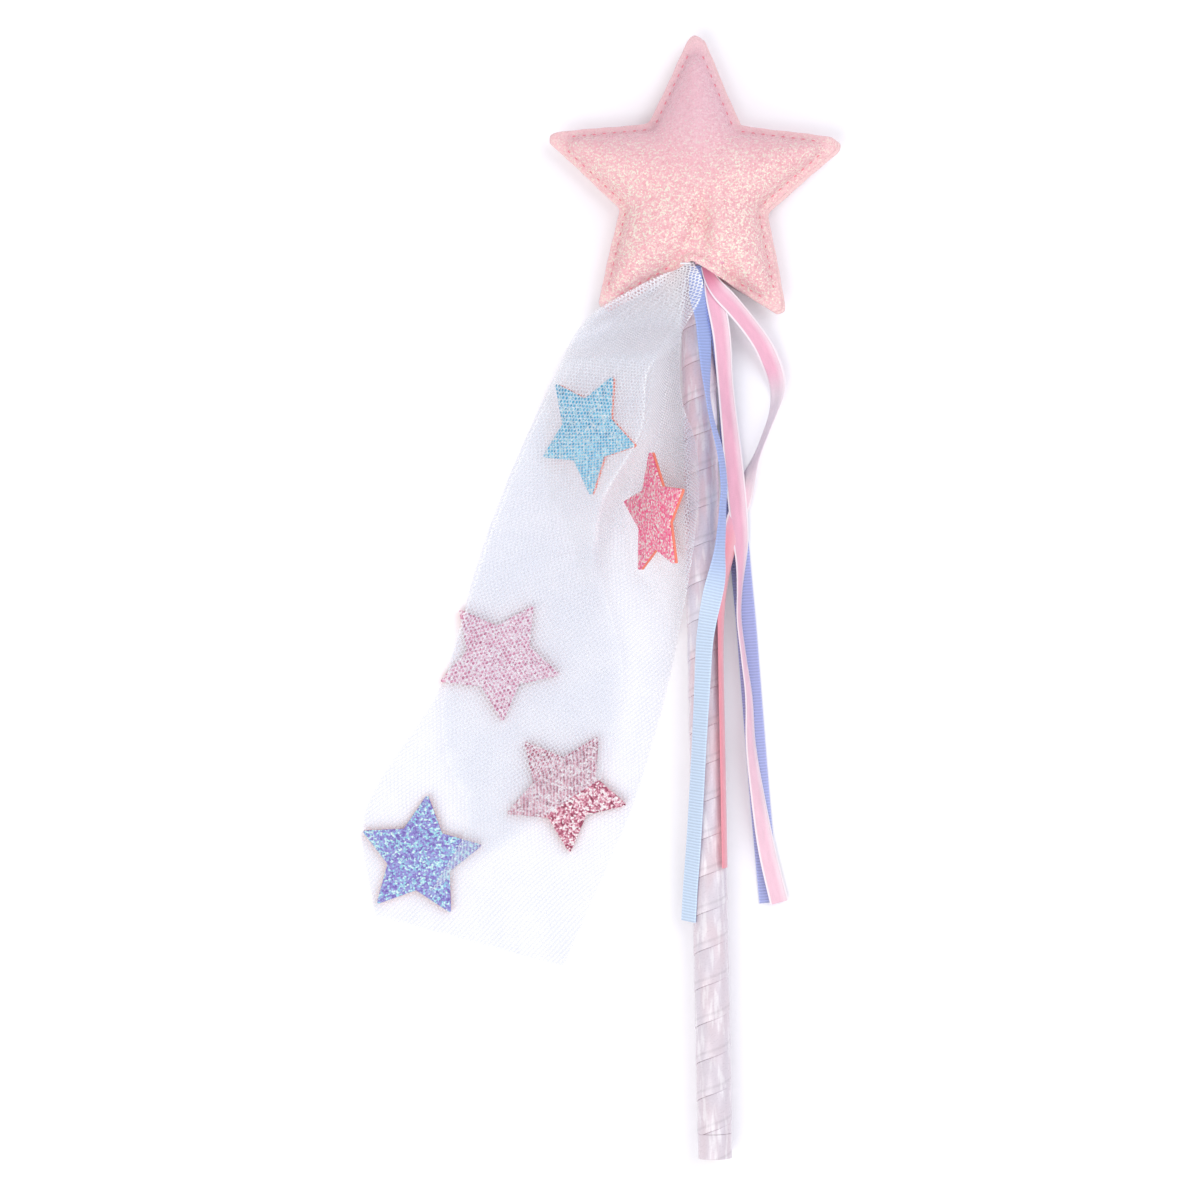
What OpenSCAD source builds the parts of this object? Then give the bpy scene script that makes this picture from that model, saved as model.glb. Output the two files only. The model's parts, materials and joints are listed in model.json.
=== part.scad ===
// Fairy wand: a padded glitter star on a spiral-wrapped stick, with a tulle trail and ribbon tails.
// It lies on a table: the stick along +Y, its free end's centre at the origin, +Z up off the table.

/* [Stick] */
// Free length of the stick, from its end to the star's bottom notch
handle_len = 286.5; // [260:0.5:310]
// Diameter of the bare stick
stick_d = 9.6; // [8.6:0.1:10.4]
// Length of the stick held inside the star
stick_in = 36; // [30:1:42]
// Length of the closing band at the free end
end_band_len = 8; // [5:0.5:14]
// Thickness of the satin wrap
wrap_t = 0.5; // [0.4:0.05:0.7]
// Distance along the stick from one turn of the wrap to the next
wrap_pitch = 11.7; // [9:0.1:16]
// Bare seam left between two turns of the wrap
wrap_seam = 0.8; // [0.6:0.1:1.5]

/* [Star] */
// Radius of the star at its tips
star_tip_r = 48.5; // [44:0.5:54]
// Radius of the star at its notches
star_notch_r = 24.5; // [22:0.5:28]
// Rounding of the star's tips
star_tip_round = 2.4; // [1:0.1:4]
// Turn of the star on the stick, in degrees
star_turn = -2.2; // [-6:0.1:6]
// Sideways offset of the star's centre from the stick
star_side = -0.8; // [-2:0.1:2]
// Height of the front crown above the seam
crown_h = 13; // [11:0.5:18]
// Thickness of a glitter panel
panel_t = 0.8; // [0.6:0.05:1.2]
// Width of the flat raw-edge flange
flange_w = 3.4; // [2.6:0.1:4.5]
// Length of one topstitch
stitch_len = 2.2; // [1.5:0.1:3]
// Distance from one topstitch to the next
stitch_pitch = 3.2; // [3.1:0.1:6]
// Width of the topstitching thread
stitch_w = 0.5; // [0.3:0.05:0.8]
// Distance of the stitch row from the star's edge
stitch_in = 2.4; // [1.5:0.1:2.8]

/* [Tie] */
// Thickness of the gathered cloth on top of the stick
neck_t = 1.5; // [1:0.1:2]
// Length of the gathered cloth inside the star's mouth
neck_len = 9; // [7:0.5:11]
// Diameter of the binding thread
thread_d = 0.6; // [0.4:0.05:0.8]
// Turns of the binding thread
tie_turns = 4; // [2:1:5]
// Distance from one turn of the binding thread to the next
tie_pitch = 1.3; // [1.3:0.1:1.6]

/* [Tulle] */
// Length of the tulle trail along the stick
trail_len = 224; // [200:1:250]
// Reach of the tulle trail sideways from the stick
trail_w = 110; // [95:1:125]
// Thickness of one tulle layer
tulle_t = 0.6; // [0.4:0.05:0.8]
// Height of the trail's main fold above the table
fold_h = 28; // [24:0.5:32]

/* [Small stars] */
// Radius of a small star at its tips
small_tip_r = 20.6; // [18:0.1:22]
// Radius of a small star at its notches
small_notch_r = 10.6; // [9:0.1:12]
// Rounding of a small star's tips
small_tip_round = 1; // [0.5:0.1:2]
// Thickness of the glitter face
face_t = 1.1; // [0.6:0.1:1.4]
// Thickness of the coral backing
backing_t = 0.9; // [0.5:0.1:1.2]

/* [Ribbons] */
// Width of the grosgrain ribbons
grosgrain_w = 6.4; // [5.5:0.1:7]
// Width of the velvet ribbons
velvet_w = 6.2; // [5.5:0.1:6.8]
// Thickness of a ribbon
ribbon_t = 0.4; // [0.3:0.05:0.45]

/* [Hidden] */
$fn = 64;

// Clearance between pieces that sit on each other
fit = 0.1;
// Clearance between pieces that move past each other
lay_gap = 0.3;
// Distance by which a cut runs past what it cuts
overrun = 1;

// Stick and wrap
core_r = stick_d / 2;
core_len = handle_len + stick_in;
wrap_steps = 14;
wrap_in_r = (core_r + fit / 2) / cos(180 / wrap_steps);
wrap_r = wrap_in_r + wrap_t;
wrap_w = wrap_pitch - wrap_seam;
wrap_start = end_band_len + fit;
wrap_tip_w = 1;
wrap_y0 = wrap_start + wrap_tip_w - wrap_w / 2;
wrap_turns = (handle_len - wrap_start - wrap_tip_w) / wrap_pitch;

// Tie in the star's mouth: an eccentric ring, thick on top of the stick
neck_lift = 0.7;
neck_r = core_r + fit + neck_t - neck_lift;
tie_sides = 6;
tie_steps = 16;
tie_r = neck_r / cos(180 / tie_steps) + fit / 2 + thread_d / 2;
neck_y = handle_len + 2 * fit;
tie_y = neck_y + (neck_len - tie_turns * tie_pitch) / 2;
mouth_r = tie_r + thread_d / 2 + fit;
mouth_len = neck_len + 2 * fit + thread_d;
neck_split = 0.4;

// Star
arms = 5;
arm_step = 360 / arms;
star_y = handle_len + star_notch_r;
star_alpha = tip_half_angle(star_tip_r, star_notch_r);
stitch_ring_tip = star_tip_r - flange_w / sin(star_alpha);
stitch_ring_notch = star_notch_r - flange_w / sin(star_alpha + arm_step / 2);
back_h = mouth_r + panel_t - neck_lift;
edge_points = 3;
// Ring size and height of the front crown, as shares of the stitch line and of the crown
front_shares = [[0.2, 0.98], [0.42, 0.92], [0.64, 0.8], [0.82, 0.6], [0.94, 0.34]];
back_shares = [[0.68, 1], [0.84, 0.86], [0.94, 0.55]];
fill_gap = 0.25;
fill_share = 0.98;
pentagon_share = 0.55;
stitch_h = 0.35;
// Glue plug round the stick's inner end
plug_r = 7;
plug_len = 9;
plug_y = core_len - plug_len + lay_gap;
plug_floor = back_h - panel_t - fill_gap;

// Table and tulle levels
table_z = -back_h;
tulle_z = table_z + fit + tulle_t / 2;
head_y = handle_len - overrun;
head_z = wrap_r + lay_gap + tulle_t / 2;
layer_head_gap = 1.6;
layer_flat_gap = face_t + backing_t + 2 * lay_gap + tulle_t + fit;
layer_fold_gap = 1.8;
fold_gap_shares = [[0.08, 0], [0.13, 1], [0.34, 1], [0.42, 0]];
hinge_r = thread_d / 2;
hinge_back = 0.7;
hinge_y = handle_len - hinge_back;
hinge_z = head_z + layer_head_gap + tulle_t / 2 + lay_gap + hinge_r;

// Tulle edges from the tie to the hem: shares of the trail's reach and of its length
lower_left_shares = [[0.05, 0], [0.28, 0.095], [0.42, 0.18], [0.53, 0.30],
                     [0.65, 0.42], [0.77, 0.59], [1.0, 0.77], [0.98, 0.92]];
lower_right_shares = [[0.02, 0], [0.02, 0.11], [0.02, 0.21], [0.02, 0.33],
                      [0.035, 0.39], [0.09, 0.56], [0.21, 0.76], [0.43, 1.0]];
upper_left_shares = [[0.05, 0], [0.27, 0.097], [0.41, 0.183], [0.52, 0.30],
                     [0.64, 0.42], [0.76, 0.585], [0.8, 0.735], [0.74, 0.84]];
upper_right_shares = [[0.025, 0], [0.07, 0.09], [0.15, 0.155], [0.175, 0.24],
                      [0.285, 0.335], [0.3, 0.43], [0.24, 0.58], [0.31, 0.73]];
lower_rows = 22;
lower_cols = 13;
upper_rows = 18;
upper_cols = 10;
// Two main folds: crest place and height against the share of the trail's length
left_crest_shares = [[0, 0.03], [0.09, 0.06], [0.13, 0.13], [0.25, 0.165], [0.29, 0.235], [0.33, 0.29],
                     [0.36, 0.31], [0.43, 0.33]];
left_rise_shares = [[0, 0.44], [0.09, 0.7], [0.13, 1.09], [0.25, 0.97], [0.29, 0.73], [0.33, 0.545],
                    [0.36, 0.3], [0.43, 0.1], [0.47, 0]];
right_crest_share = 0.05;
right_rise_shares = [[0.1, 0.44], [0.16, 0.5], [0.23, 0.66], [0.285, 1.1], [0.357, 1.27],
                     [0.42, 1.1], [0.48, 0.5], [0.54, 0.15], [0.585, 0]];
left_fold_slope = 41;
right_fold_slope = 63;
left_fold_back = 6;
right_fold_back = 9;
stick_drape_shares = [[0, 1], [0.42, 1], [0.5, 0]];
drape_foot = 13.5;
drape_run = 9;

// Small stars: place as shares of the trail's reach and length, turn of the first tip, tilt
blue_star_shares = [0.32, 0.235];
coral_star_shares = [0.1305, 0.356];
pink_star_shares = [0.6, 0.555];
rose_star_shares = [0.4145, 0.745];
lilac_star_shares = [0.8425, 0.8375];
blue_star_turn = -87;
coral_star_turn = 94;
pink_star_turn = -88;
rose_star_turn = -87;
lilac_star_turn = 82;
blue_star_tilt = 41;
coral_star_tilt = 63;
star_seat = tulle_t / 2 + lay_gap;
tilt_seat = 0.5;

// Ribbon routes from the tie to the cut ends: x, y, z and roll in degrees
sky_route = [
    [2.6, 285, 7.65, 0], [2.1, 276, 7.8, 0], [2.0, 264, 7.7, 0], [2.4, 252, 7.6, 15],
    [3.0, 243, 8.0, 45], [3.8, 235, 8.6, 70], [5.2, 225, 8.8, 60], [7.0, 214, 8.4, 40],
    [7.0, 203, 7.8, 15], [5.6, 190, 7.4, -10], [3.0, 176, 7.6, -25], [0.6, 164, 7.5, -35],
    [-1.2, 150, 7.1, -40], [-2.4, 135, 6.4, -45], [-3.6, 118, 5.2, -45], [-5.0, 100, 3.8, -45],
    [-6.2, 87, 2.4, -45], [-7.0, 76, 1.4, -45]
];
periwinkle_route = [
    [3.4, 285, 5.95, 0], [3.9, 279, 5.2, 20], [4.6, 273, 4.4, 40], [5.8, 262, 2.7, 58],
    [7.6, 249, -1.2, 52], [9.0, 236, -4.0, 32], [9.8, 224, -5.7, 8], [10.8, 210, -6.1, 0],
    [11.8, 196, -6.1, 0], [12.6, 184, -6.1, 0], [13.6, 170, -6.1, 0], [14.4, 156, -6.1, 0],
    [15.2, 142, -6.1, 0], [16.0, 128, -6.1, 0], [17.0, 112, -6.1, 0], [18.1, 96, -6.1, 0],
    [19.2, 81, -6.1, 0]
];
pink_route = [
    [4.4, 285, 6.95, 0], [5.0, 279, 6.55, 10], [5.6, 274, 6.15, 19], [6.6, 262, 5.2, 30],
    [8.2, 248, 2.8, 36], [9.6, 234, -0.6, 26], [10.9, 220, -3.3, 10], [11.6, 210, -4.2, 6],
    [12.3, 199, -4.0, 25], [12.4, 190, -3.1, 55], [12.0, 181, -2.6, 78], [11.5, 172, -2.4, 85],
    [12.8, 160, -2.5, 75], [14.4, 147, -2.9, 55], [14.0, 132, -2.9, 50], [16.0, 116, -3.9, 32],
    [18.6, 98, -5.1, 10], [22.4, 81, -5.5, 0]
];
loop_route = [
    [5.4, 285, 6.4, 0], [6.2, 279, 5.65, 10], [7.8, 274, 4.2, 22], [12, 268, 1.9, 24],
    [17, 262, 0.2, 20], [21.2, 257, -2.2, 12], [24.2, 251, -3.8, 4], [25.4, 245, -4.8, 0],
    [24.6, 238, -5.3, 0], [21.8, 231, -5.5, 0], [18.6, 224, -5.5, 0], [15.6, 217, -5.4, 0],
    [12.6, 209, -5.3, 4], [10.2, 202, -4.6, 20], [8.7, 195, -3.2, 38], [7.7, 187, -1.4, 55],
    [7.0, 178, 0.6, 65], [6.5, 165, 2.0, 66], [6.1, 150, 2.6, 65], [5.8, 135, 2.9, 62],
    [5.5, 120, 3.2, 60], [4.9, 106, 4.0, 57], [4.3, 93, 4.8, 50]
];

// Smooth step from 0 to 1, held outside that span
function smooth(t) =
    let (c = max(0, min(1, t)))
    c * c * (3 - 2 * c);

// Point at a share of the way along a list of points, in equal steps
function along(list, share) =
    let (place = share * (len(list) - 1), i = min(len(list) - 2, floor(place)))
    list[i] + (place - i) * (list[i + 1] - list[i]);

// Half angle of a star's tip
function tip_half_angle(tip_r, notch_r) =
    atan2(notch_r * sin(36), tip_r - notch_r * cos(36));

// Half of one arm in the arm's own frame: notch, edge points and the tip's tangent point
function arm_side(tip_r, notch_r, round_r, n, side) =
    let (
        alpha = tip_half_angle(tip_r, notch_r),
        hub = tip_r - round_r,
        touch = [hub + round_r * sin(alpha), side * round_r * cos(alpha)],
        notch = notch_r * [cos(36), side * sin(36)]
    )
    [for (i = [0 : n + 1]) notch + (touch - notch) * i / (n + 1)];

// Outline of a star, anticlockwise from a notch, with rounded tips
function star_outline(tip_r, notch_r, round_r, n, turn) = [
    for (arm = [0 : arms - 1])
        let (
            a = turn + arm * arm_step,
            rise = arm_side(tip_r, notch_r, round_r, n, -1),
            fall = arm_side(tip_r, notch_r, round_r, n, 1),
            points = concat(rise, [[tip_r, 0]], [for (i = [n + 1 : -1 : 1]) fall[i]])
        )
        for (p = points) [p.x * cos(a) - p.y * sin(a), p.x * sin(a) + p.y * cos(a)]
];

// Ring of the big star, raised to a height
function star_loop(tip_r, notch_r, round_r, z) = [
    for (p = star_outline(tip_r, notch_r, round_r, edge_points, 90 + star_turn))
        [p.x + star_side, p.y + star_y, z]
];

// Raw edge of the star at a height
function edge_loop(z) = star_loop(star_tip_r, star_notch_r, star_tip_round, z);

// A list from its end to its start
function backwards(list) = [for (i = [len(list) - 1 : -1 : 0]) list[i]];

// Ring inside the stitch line: the star rounds off to a pentagon towards its middle
function puff_loop(share, z) =
    star_loop(stitch_ring_tip * share, stitch_ring_notch * share * (1 + pentagon_share * (1 - share)),
              star_tip_round * share, z);

// Solid between two poles through loops of equal length, from the top pole down
module lathe_skin(top, loops, bottom) {
    n = len(loops[0]);
    m = len(loops);
    points = concat([top], [for (loop = loops) each loop], [bottom]);
    last = len(points) - 1;
    faces = concat(
        [for (j = [0 : n - 1]) [0, 1 + (j + 1) % n, 1 + j]],
        [for (k = [0 : m - 2], j = [0 : n - 1]) each quad_faces(1 + k * n, n, j, false)],
        [for (j = [0 : n - 1]) [last, 1 + (m - 1) * n + j, 1 + (m - 1) * n + (j + 1) % n]]
    );
    polyhedron(points, faces);
}

// Two triangles between a loop that starts at a point and the loop after it, split one way or the other
function quad_faces(start, n, j, other_way) =
    let (a = start + j, b = start + (j + 1) % n, c = b + n, d = a + n)
    other_way ? [[a, b, d], [b, c, d]] : [[a, b, c], [a, c, d]];

// Solid swept through sections of equal length, with both ends closed.
// Facing sides are split along the same line, so that a thin twisted strip keeps its thickness.
module sweep_skin(sections) {
    n = len(sections[0]);
    m = len(sections);
    end = (m - 1) * n;
    strips = [0 : n / 2 - 2];
    faces = concat(
        [for (k = [0 : m - 2], j = [0 : n - 1]) each quad_faces(k * n, n, j, j >= n / 2)],
        [for (k = strips) each [[n - 1 - k, n - 2 - k, k + 1], [n - 1 - k, k + 1, k]]],
        [for (k = strips) each [[end + k, end + k + 1, end + n - 2 - k],
                                [end + k, end + n - 2 - k, end + n - 1 - k]]]
    );
    polyhedron([for (s = sections) each s], faces);
}

// Least distance between one turn of a winding and the next, over its points
function least_gap(sections, steps) =
    min([
        for (i = [0 : len(sections) - 1 - steps], a = sections[i], b = sections[i + steps])
            norm(a - b)
    ]);

// Cylinder along the stick
module along_stick(y, length, r) {
    translate([0, y, 0])
        rotate([-90, 0, 0])
            cylinder(h = length, r = r);
}

// Cylinder along the stick round the tie's raised centre
module along_tie(y, length, r) {
    translate([0, 0, neck_lift])
        along_stick(y, length, r);
}

// Flat box of the wand's whole width on one side of a level, for cutting
module half_space(side, level) {
    reach = 2 * star_tip_r;
    translate([-reach, handle_len - reach, side > 0 ? level : level - reach])
        cube([2 * reach, 3 * reach, reach]);
}

module stick_core() {
    color("burlywood") {
        along_stick(0, core_len, core_r);
    }
}

// Sections of the satin band: both edges of the strip, trimmed square where the closing band starts
function wrap_sections() = [
    for (i = [0 : floor(wrap_turns * wrap_steps)])
        let (
            a = i * 360 / wrap_steps,
            y = wrap_y0 + i * wrap_pitch / wrap_steps,
            low = max(y - wrap_w / 2, wrap_start),
            high = y + wrap_w / 2
        )
        [
            [wrap_in_r * sin(a), low, wrap_in_r * cos(a)],
            [wrap_r * sin(a), low, wrap_r * cos(a)],
            [wrap_r * sin(a), high, wrap_r * cos(a)],
            [wrap_in_r * sin(a), high, wrap_in_r * cos(a)]
        ]
];

module stick_wrap() {
    sections = wrap_sections();
    echo("stick_wrap turns", wrap_turns, "least gap", least_gap(sections, wrap_steps));
    color("lavenderblush")
        sweep_skin(sections);
}

module wrap_end_band() {
    color("lavenderblush")
        translate([0, end_band_len, 0])
            rotate([90, 0, 0])
                rotate_extrude()
                    polygon([
                        [core_r + fit / 2, 0],
                        [wrap_r, 0],
                        [wrap_r, end_band_len],
                        [core_r + fit / 2, end_band_len]
                    ]);
}

// Half tube of panel cloth over the star's mouth, above or below the seam
module mouth_cuff(side) {
    intersection() {
        along_tie(handle_len, mouth_len, mouth_r + panel_t);
        half_space(side, 0);
    }
}

// Height of the panels' loops over the seam
function front_z(share) = panel_t + (crown_h - panel_t) * share;
function back_z(share) = -panel_t - (back_h - panel_t) * share;

module star_front_panel() {
    loops = concat(
        [for (s = front_shares) puff_loop(s[0], front_z(s[1]))],
        [puff_loop(1, panel_t), edge_loop(panel_t), edge_loop(0), puff_loop(1, 0)],
        [for (s = backwards(front_shares)) puff_loop(s[0], front_z(s[1]) - panel_t)]
    );
    color("lightpink")
        difference() {
            union() {
                lathe_skin([star_side, star_y, crown_h], loops, [star_side, star_y, crown_h - panel_t]);
                mouth_cuff(1);
            }
            along_tie(handle_len - mouth_r, mouth_len + mouth_r, mouth_r);
        }
}

module star_back_panel() {
    loops = concat(
        [for (s = back_shares) puff_loop(s[0], back_z(s[1]) + panel_t)],
        [puff_loop(1, 0), edge_loop(0), edge_loop(-panel_t), puff_loop(1, -panel_t)],
        [for (s = backwards(back_shares)) puff_loop(s[0], back_z(s[1]))]
    );
    color("pink")
        difference() {
            union() {
                lathe_skin([star_side, star_y, panel_t - back_h], loops, [star_side, star_y, -back_h]);
                mouth_cuff(-1);
            }
            along_tie(handle_len - mouth_r, mouth_len + mouth_r, mouth_r);
        }
}

// Room for the stick, the tie and the glue plug inside the star
module filling_hollow() {
    along_stick(handle_len - overrun, stick_in + lay_gap + overrun, core_r + fit);
    along_tie(handle_len - overrun, mouth_len + overrun + fill_gap, mouth_r + panel_t + fill_gap);
    along_stick(plug_y - fit, plug_len + 2 * fit, plug_r + fit);
}

module star_filling() {
    skin = panel_t + fill_gap;
    loops = concat(
        [for (s = front_shares) puff_loop(s[0] * fill_share, front_z(s[1]) - skin)],
        [for (s = backwards(back_shares)) puff_loop(s[0] * fill_share, back_z(s[1]) + skin)]
    );
    color("white")
        difference() {
            lathe_skin([star_side, star_y, crown_h - skin], loops, [star_side, star_y, skin - back_h]);
            filling_hollow();
        }
}

// Row of topstitches along the flange, resting on one of its faces
module stitch_row(z) {
    for (arm = [0 : arms - 1], side = [-1, 1]) {
        edge = arm_side(star_tip_r, star_notch_r, star_tip_round, 0, side);
        way = (edge[1] - edge[0]) / norm(edge[1] - edge[0]);
        inward = side * [way.y, -way.x];
        run = norm(edge[1] - edge[0]) - stitch_in / tan(star_alpha);
        count = floor(run / stitch_pitch);
        a = 90 + star_turn + arm * arm_step;
        for (i = [0 : count - 1]) {
            p = edge[0] + inward * stitch_in + way * run * (i + 0.5) / count;
            place = [star_side + p.x * cos(a) - p.y * sin(a), star_y + p.x * sin(a) + p.y * cos(a)];
            clear_of_mouth = abs(place.x) > mouth_r + panel_t + stitch_len || place.y > star_y;
            if (clear_of_mouth)
                translate([place.x, place.y, z])
                    rotate([0, 0, a + atan2(way.y, way.x)])
                        translate([-stitch_len / 2, -stitch_w / 2, 0])
                            cube([stitch_len, stitch_w, stitch_h]);
        }
    }
}

module front_stitches() {
    color("white")
        stitch_row(panel_t);
}

module back_stitches() {
    color("white")
        stitch_row(-panel_t - stitch_h);
}

module glue_plug() {
    color("ivory")
        difference() {
            intersection() {
                along_stick(plug_y, plug_len, plug_r);
                half_space(1, -plug_floor + fit);
            }
            along_stick(plug_y - overrun, core_len - plug_y + overrun, core_r + fit / 2);
        }
}

// Sections of the binding thread round the eccentric neck
function tie_sections() = [
    for (i = [0 : tie_turns * tie_steps])
        let (a = i * 360 / tie_steps, y = tie_y + i * tie_pitch / tie_steps)
        [
            for (k = [0 : tie_sides - 1])
                let (b = k * 360 / tie_sides, r = tie_r + thread_d / 2 * sin(b))
                [r * sin(a), y - thread_d / 2 * cos(b), neck_lift + r * cos(a)]
        ]
];

module binding_thread() {
    sections = tie_sections();
    echo("binding_thread turns", tie_turns, "least gap", least_gap(sections, tie_steps));
    color("white")
        sweep_skin(sections);
}

// Half of the gathered cloth on top of the stick, inside the star's mouth
module neck_half(side) {
    intersection() {
        difference() {
            along_tie(neck_y, neck_len, neck_r);
            along_stick(neck_y - overrun, neck_len + 2 * overrun, core_r + fit);
        }
        translate([side > 0 ? neck_split : -neck_split - 2 * neck_r, neck_y, neck_lift])
            cube([2 * neck_r, neck_len, 2 * neck_r]);
    }
}

module tulle_neck() {
    color("white")
        neck_half(-1);
}

module ribbon_neck() {
    color("hotpink")
        neck_half(1);
}

// Thread on the line about which the tails lift
module hinge_thread(x0, x1) {
    translate([x0, hinge_y, hinge_z])
        rotate([0, 90, 0])
            cylinder(h = x1 - x0, r = hinge_r);
}

module tulle_gather_thread() {
    color("white")
        hinge_thread(-trail_w * lower_left_shares[0][0], -trail_w * lower_right_shares[0][0]);
}

module ribbon_tack_thread() {
    color("hotpink")
        hinge_thread(sky_route[0][0] - grosgrain_w / 2, loop_route[0][0] + velvet_w / 2);
}

// Height of a fold over the table: a straight slope up to its crest, and a rounded back
function fold(x, crest, rise, slope, back) =
    x < crest ? max(0, rise - (crest - x) * tan(slope)) : rise * (1 - smooth((x - crest) / back));

function left_fold(x, share) =
    let (
        crest = -trail_w * lookup(share, left_crest_shares),
        rise = fold_h * lookup(share, left_rise_shares)
    )
    fold(x, crest, rise, left_fold_slope, left_fold_back);

function right_fold(x, share) =
    let (
        crest = -trail_w * right_crest_share,
        rise = share < right_rise_shares[0][0] ? 0 : fold_h * lookup(share, right_rise_shares)
    )
    fold(x, crest, rise, right_fold_slope, right_fold_back);

function stick_drape(x, share) =
    (head_z - tulle_z) * smooth((x + drape_foot) / drape_run) * lookup(share, stick_drape_shares);

// Level of the lower tulle layer at a place on the table
function lower_z(x, y) =
    let (share = (head_y - y) / trail_len)
    tulle_z + max(left_fold(x, share), right_fold(x, share), stick_drape(x, share));

// Level of the upper tulle layer: over the small stars, closing in to the lower layer at the tie
function upper_z(x, y) =
    let (
        share = (head_y - y) / trail_len,
        open = smooth(share / lower_left_shares[1][1]),
        flat_gap = layer_head_gap + open * (layer_flat_gap - layer_head_gap)
    )
    lower_z(x, y) + flat_gap + layer_fold_gap * lookup(share, fold_gap_shares);

function trail_point(shares) = [-trail_w * shares[0], head_y - trail_len * shares[1]];

// Sections across the trail from the tie to the hem
function tulle_sections(left, right, rows, cols, upper) = [
    for (i = [0 : rows - 1])
        let (
            a = trail_point(along(left, i / (rows - 1))),
            b = trail_point(along(right, i / (rows - 1))),
            line = [
                for (j = [0 : cols - 1])
                    let (p = a + (b - a) * j / (cols - 1))
                    [p.x, p.y, upper ? upper_z(p.x, p.y) : lower_z(p.x, p.y)]
            ],
            half = [0, 0, tulle_t / 2]
        )
        concat([for (p = line) p + half], [for (j = [cols - 1 : -1 : 0]) line[j] - half])
];

module tulle_lower_layer() {
    color("white", 0.6)
        sweep_skin(tulle_sections(lower_left_shares, lower_right_shares, lower_rows, lower_cols, false));
}

module tulle_upper_layer() {
    color("white", 0.6)
        sweep_skin(tulle_sections(upper_left_shares, upper_right_shares, upper_rows, upper_cols, true));
}

// One layer of a small star on the lower tulle: its base height and thickness over the star's own seat
module small_star(shares, turn, tilt, base, thick) {
    place = trail_point(shares);
    seat = star_seat + (tilt > 0 ? tilt_seat : 0);
    translate([place.x, place.y, lower_z(place.x, place.y) + seat / cos(tilt)])
        rotate([0, -tilt, 0])
            translate([0, 0, base])
                linear_extrude(thick)
                    polygon(star_outline(small_tip_r, small_notch_r, small_tip_round, 0, turn));
}

module star_face(shares, turn, tilt) {
    small_star(shares, turn, tilt, backing_t, face_t);
}

module star_backing(shares, turn, tilt) {
    color("lightsalmon")
        small_star(shares, turn, tilt, 0, backing_t);
}

module blue_star_face() {
    color("skyblue")
        star_face(blue_star_shares, blue_star_turn, blue_star_tilt);
}

module blue_star_backing() {
    star_backing(blue_star_shares, blue_star_turn, blue_star_tilt);
}

module coral_star_face() {
    color("deeppink")
        star_face(coral_star_shares, coral_star_turn, coral_star_tilt);
}

module coral_star_backing() {
    star_backing(coral_star_shares, coral_star_turn, coral_star_tilt);
}

module pink_star_face() {
    color("palevioletred")
        star_face(pink_star_shares, pink_star_turn, 0);
}

module pink_star_backing() {
    star_backing(pink_star_shares, pink_star_turn, 0);
}

module rose_star_face() {
    color("palevioletred")
        star_face(rose_star_shares, rose_star_turn, 0);
}

module rose_star_backing() {
    star_backing(rose_star_shares, rose_star_turn, 0);
}

module lilac_star_face() {
    color("mediumpurple")
        star_face(lilac_star_shares, lilac_star_turn, 0);
}

module lilac_star_backing() {
    star_backing(lilac_star_shares, lilac_star_turn, 0);
}

// Flat section of a ribbon square to its route, rolled about it
function ribbon_section(route, i, w) =
    let (
        here = [route[i].x, route[i].y, route[i].z],
        ahead = route[min(i + 1, len(route) - 1)],
        behind = route[max(i - 1, 0)],
        step = [ahead.x - behind.x, ahead.y - behind.y, ahead.z - behind.z],
        way = step / norm(step),
        flat = cross(way, [0, 0, 1]),
        side = flat / norm(flat),
        up = cross(side, way),
        roll = route[i][3],
        across = w / 2 * (side * cos(roll) + up * sin(roll)),
        out = ribbon_t / 2 * (up * cos(roll) - side * sin(roll))
    )
    [here + across - out, here + across + out, here - across + out, here - across - out];

module ribbon(route, w) {
    sweep_skin([for (i = [0 : len(route) - 1]) ribbon_section(route, i, w)]);
}

module sky_ribbon() {
    color("lightskyblue")
        ribbon(sky_route, grosgrain_w);
}

module periwinkle_ribbon() {
    color("cornflowerblue")
        ribbon(periwinkle_route, grosgrain_w);
}

module pink_ribbon() {
    color("pink")
        ribbon(pink_route, velvet_w);
}

module loop_ribbon() {
    color("lightcoral")
        ribbon(loop_route, velvet_w);
}

stick_core();
stick_wrap();
wrap_end_band();
star_front_panel();
star_back_panel();
star_filling();
front_stitches();
back_stitches();
glue_plug();
binding_thread();
tulle_neck();
ribbon_neck();
tulle_gather_thread();
ribbon_tack_thread();
tulle_lower_layer();
tulle_upper_layer();
blue_star_face();
blue_star_backing();
coral_star_face();
coral_star_backing();
pink_star_face();
pink_star_backing();
rose_star_face();
rose_star_backing();
lilac_star_face();
lilac_star_backing();
sky_ribbon();
periwinkle_ribbon();
pink_ribbon();
loop_ribbon();
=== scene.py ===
"""Looks of a toy magic wand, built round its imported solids, in metres and in the row frame."""

from __future__ import annotations

import json
import logging
import math
from dataclasses import dataclass, field
from enum import Enum
from typing import Protocol, Sequence, Union

import bpy
import numpy as np
from mathutils import Matrix, Vector
from mathutils.bvhtree import BVHTree

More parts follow.
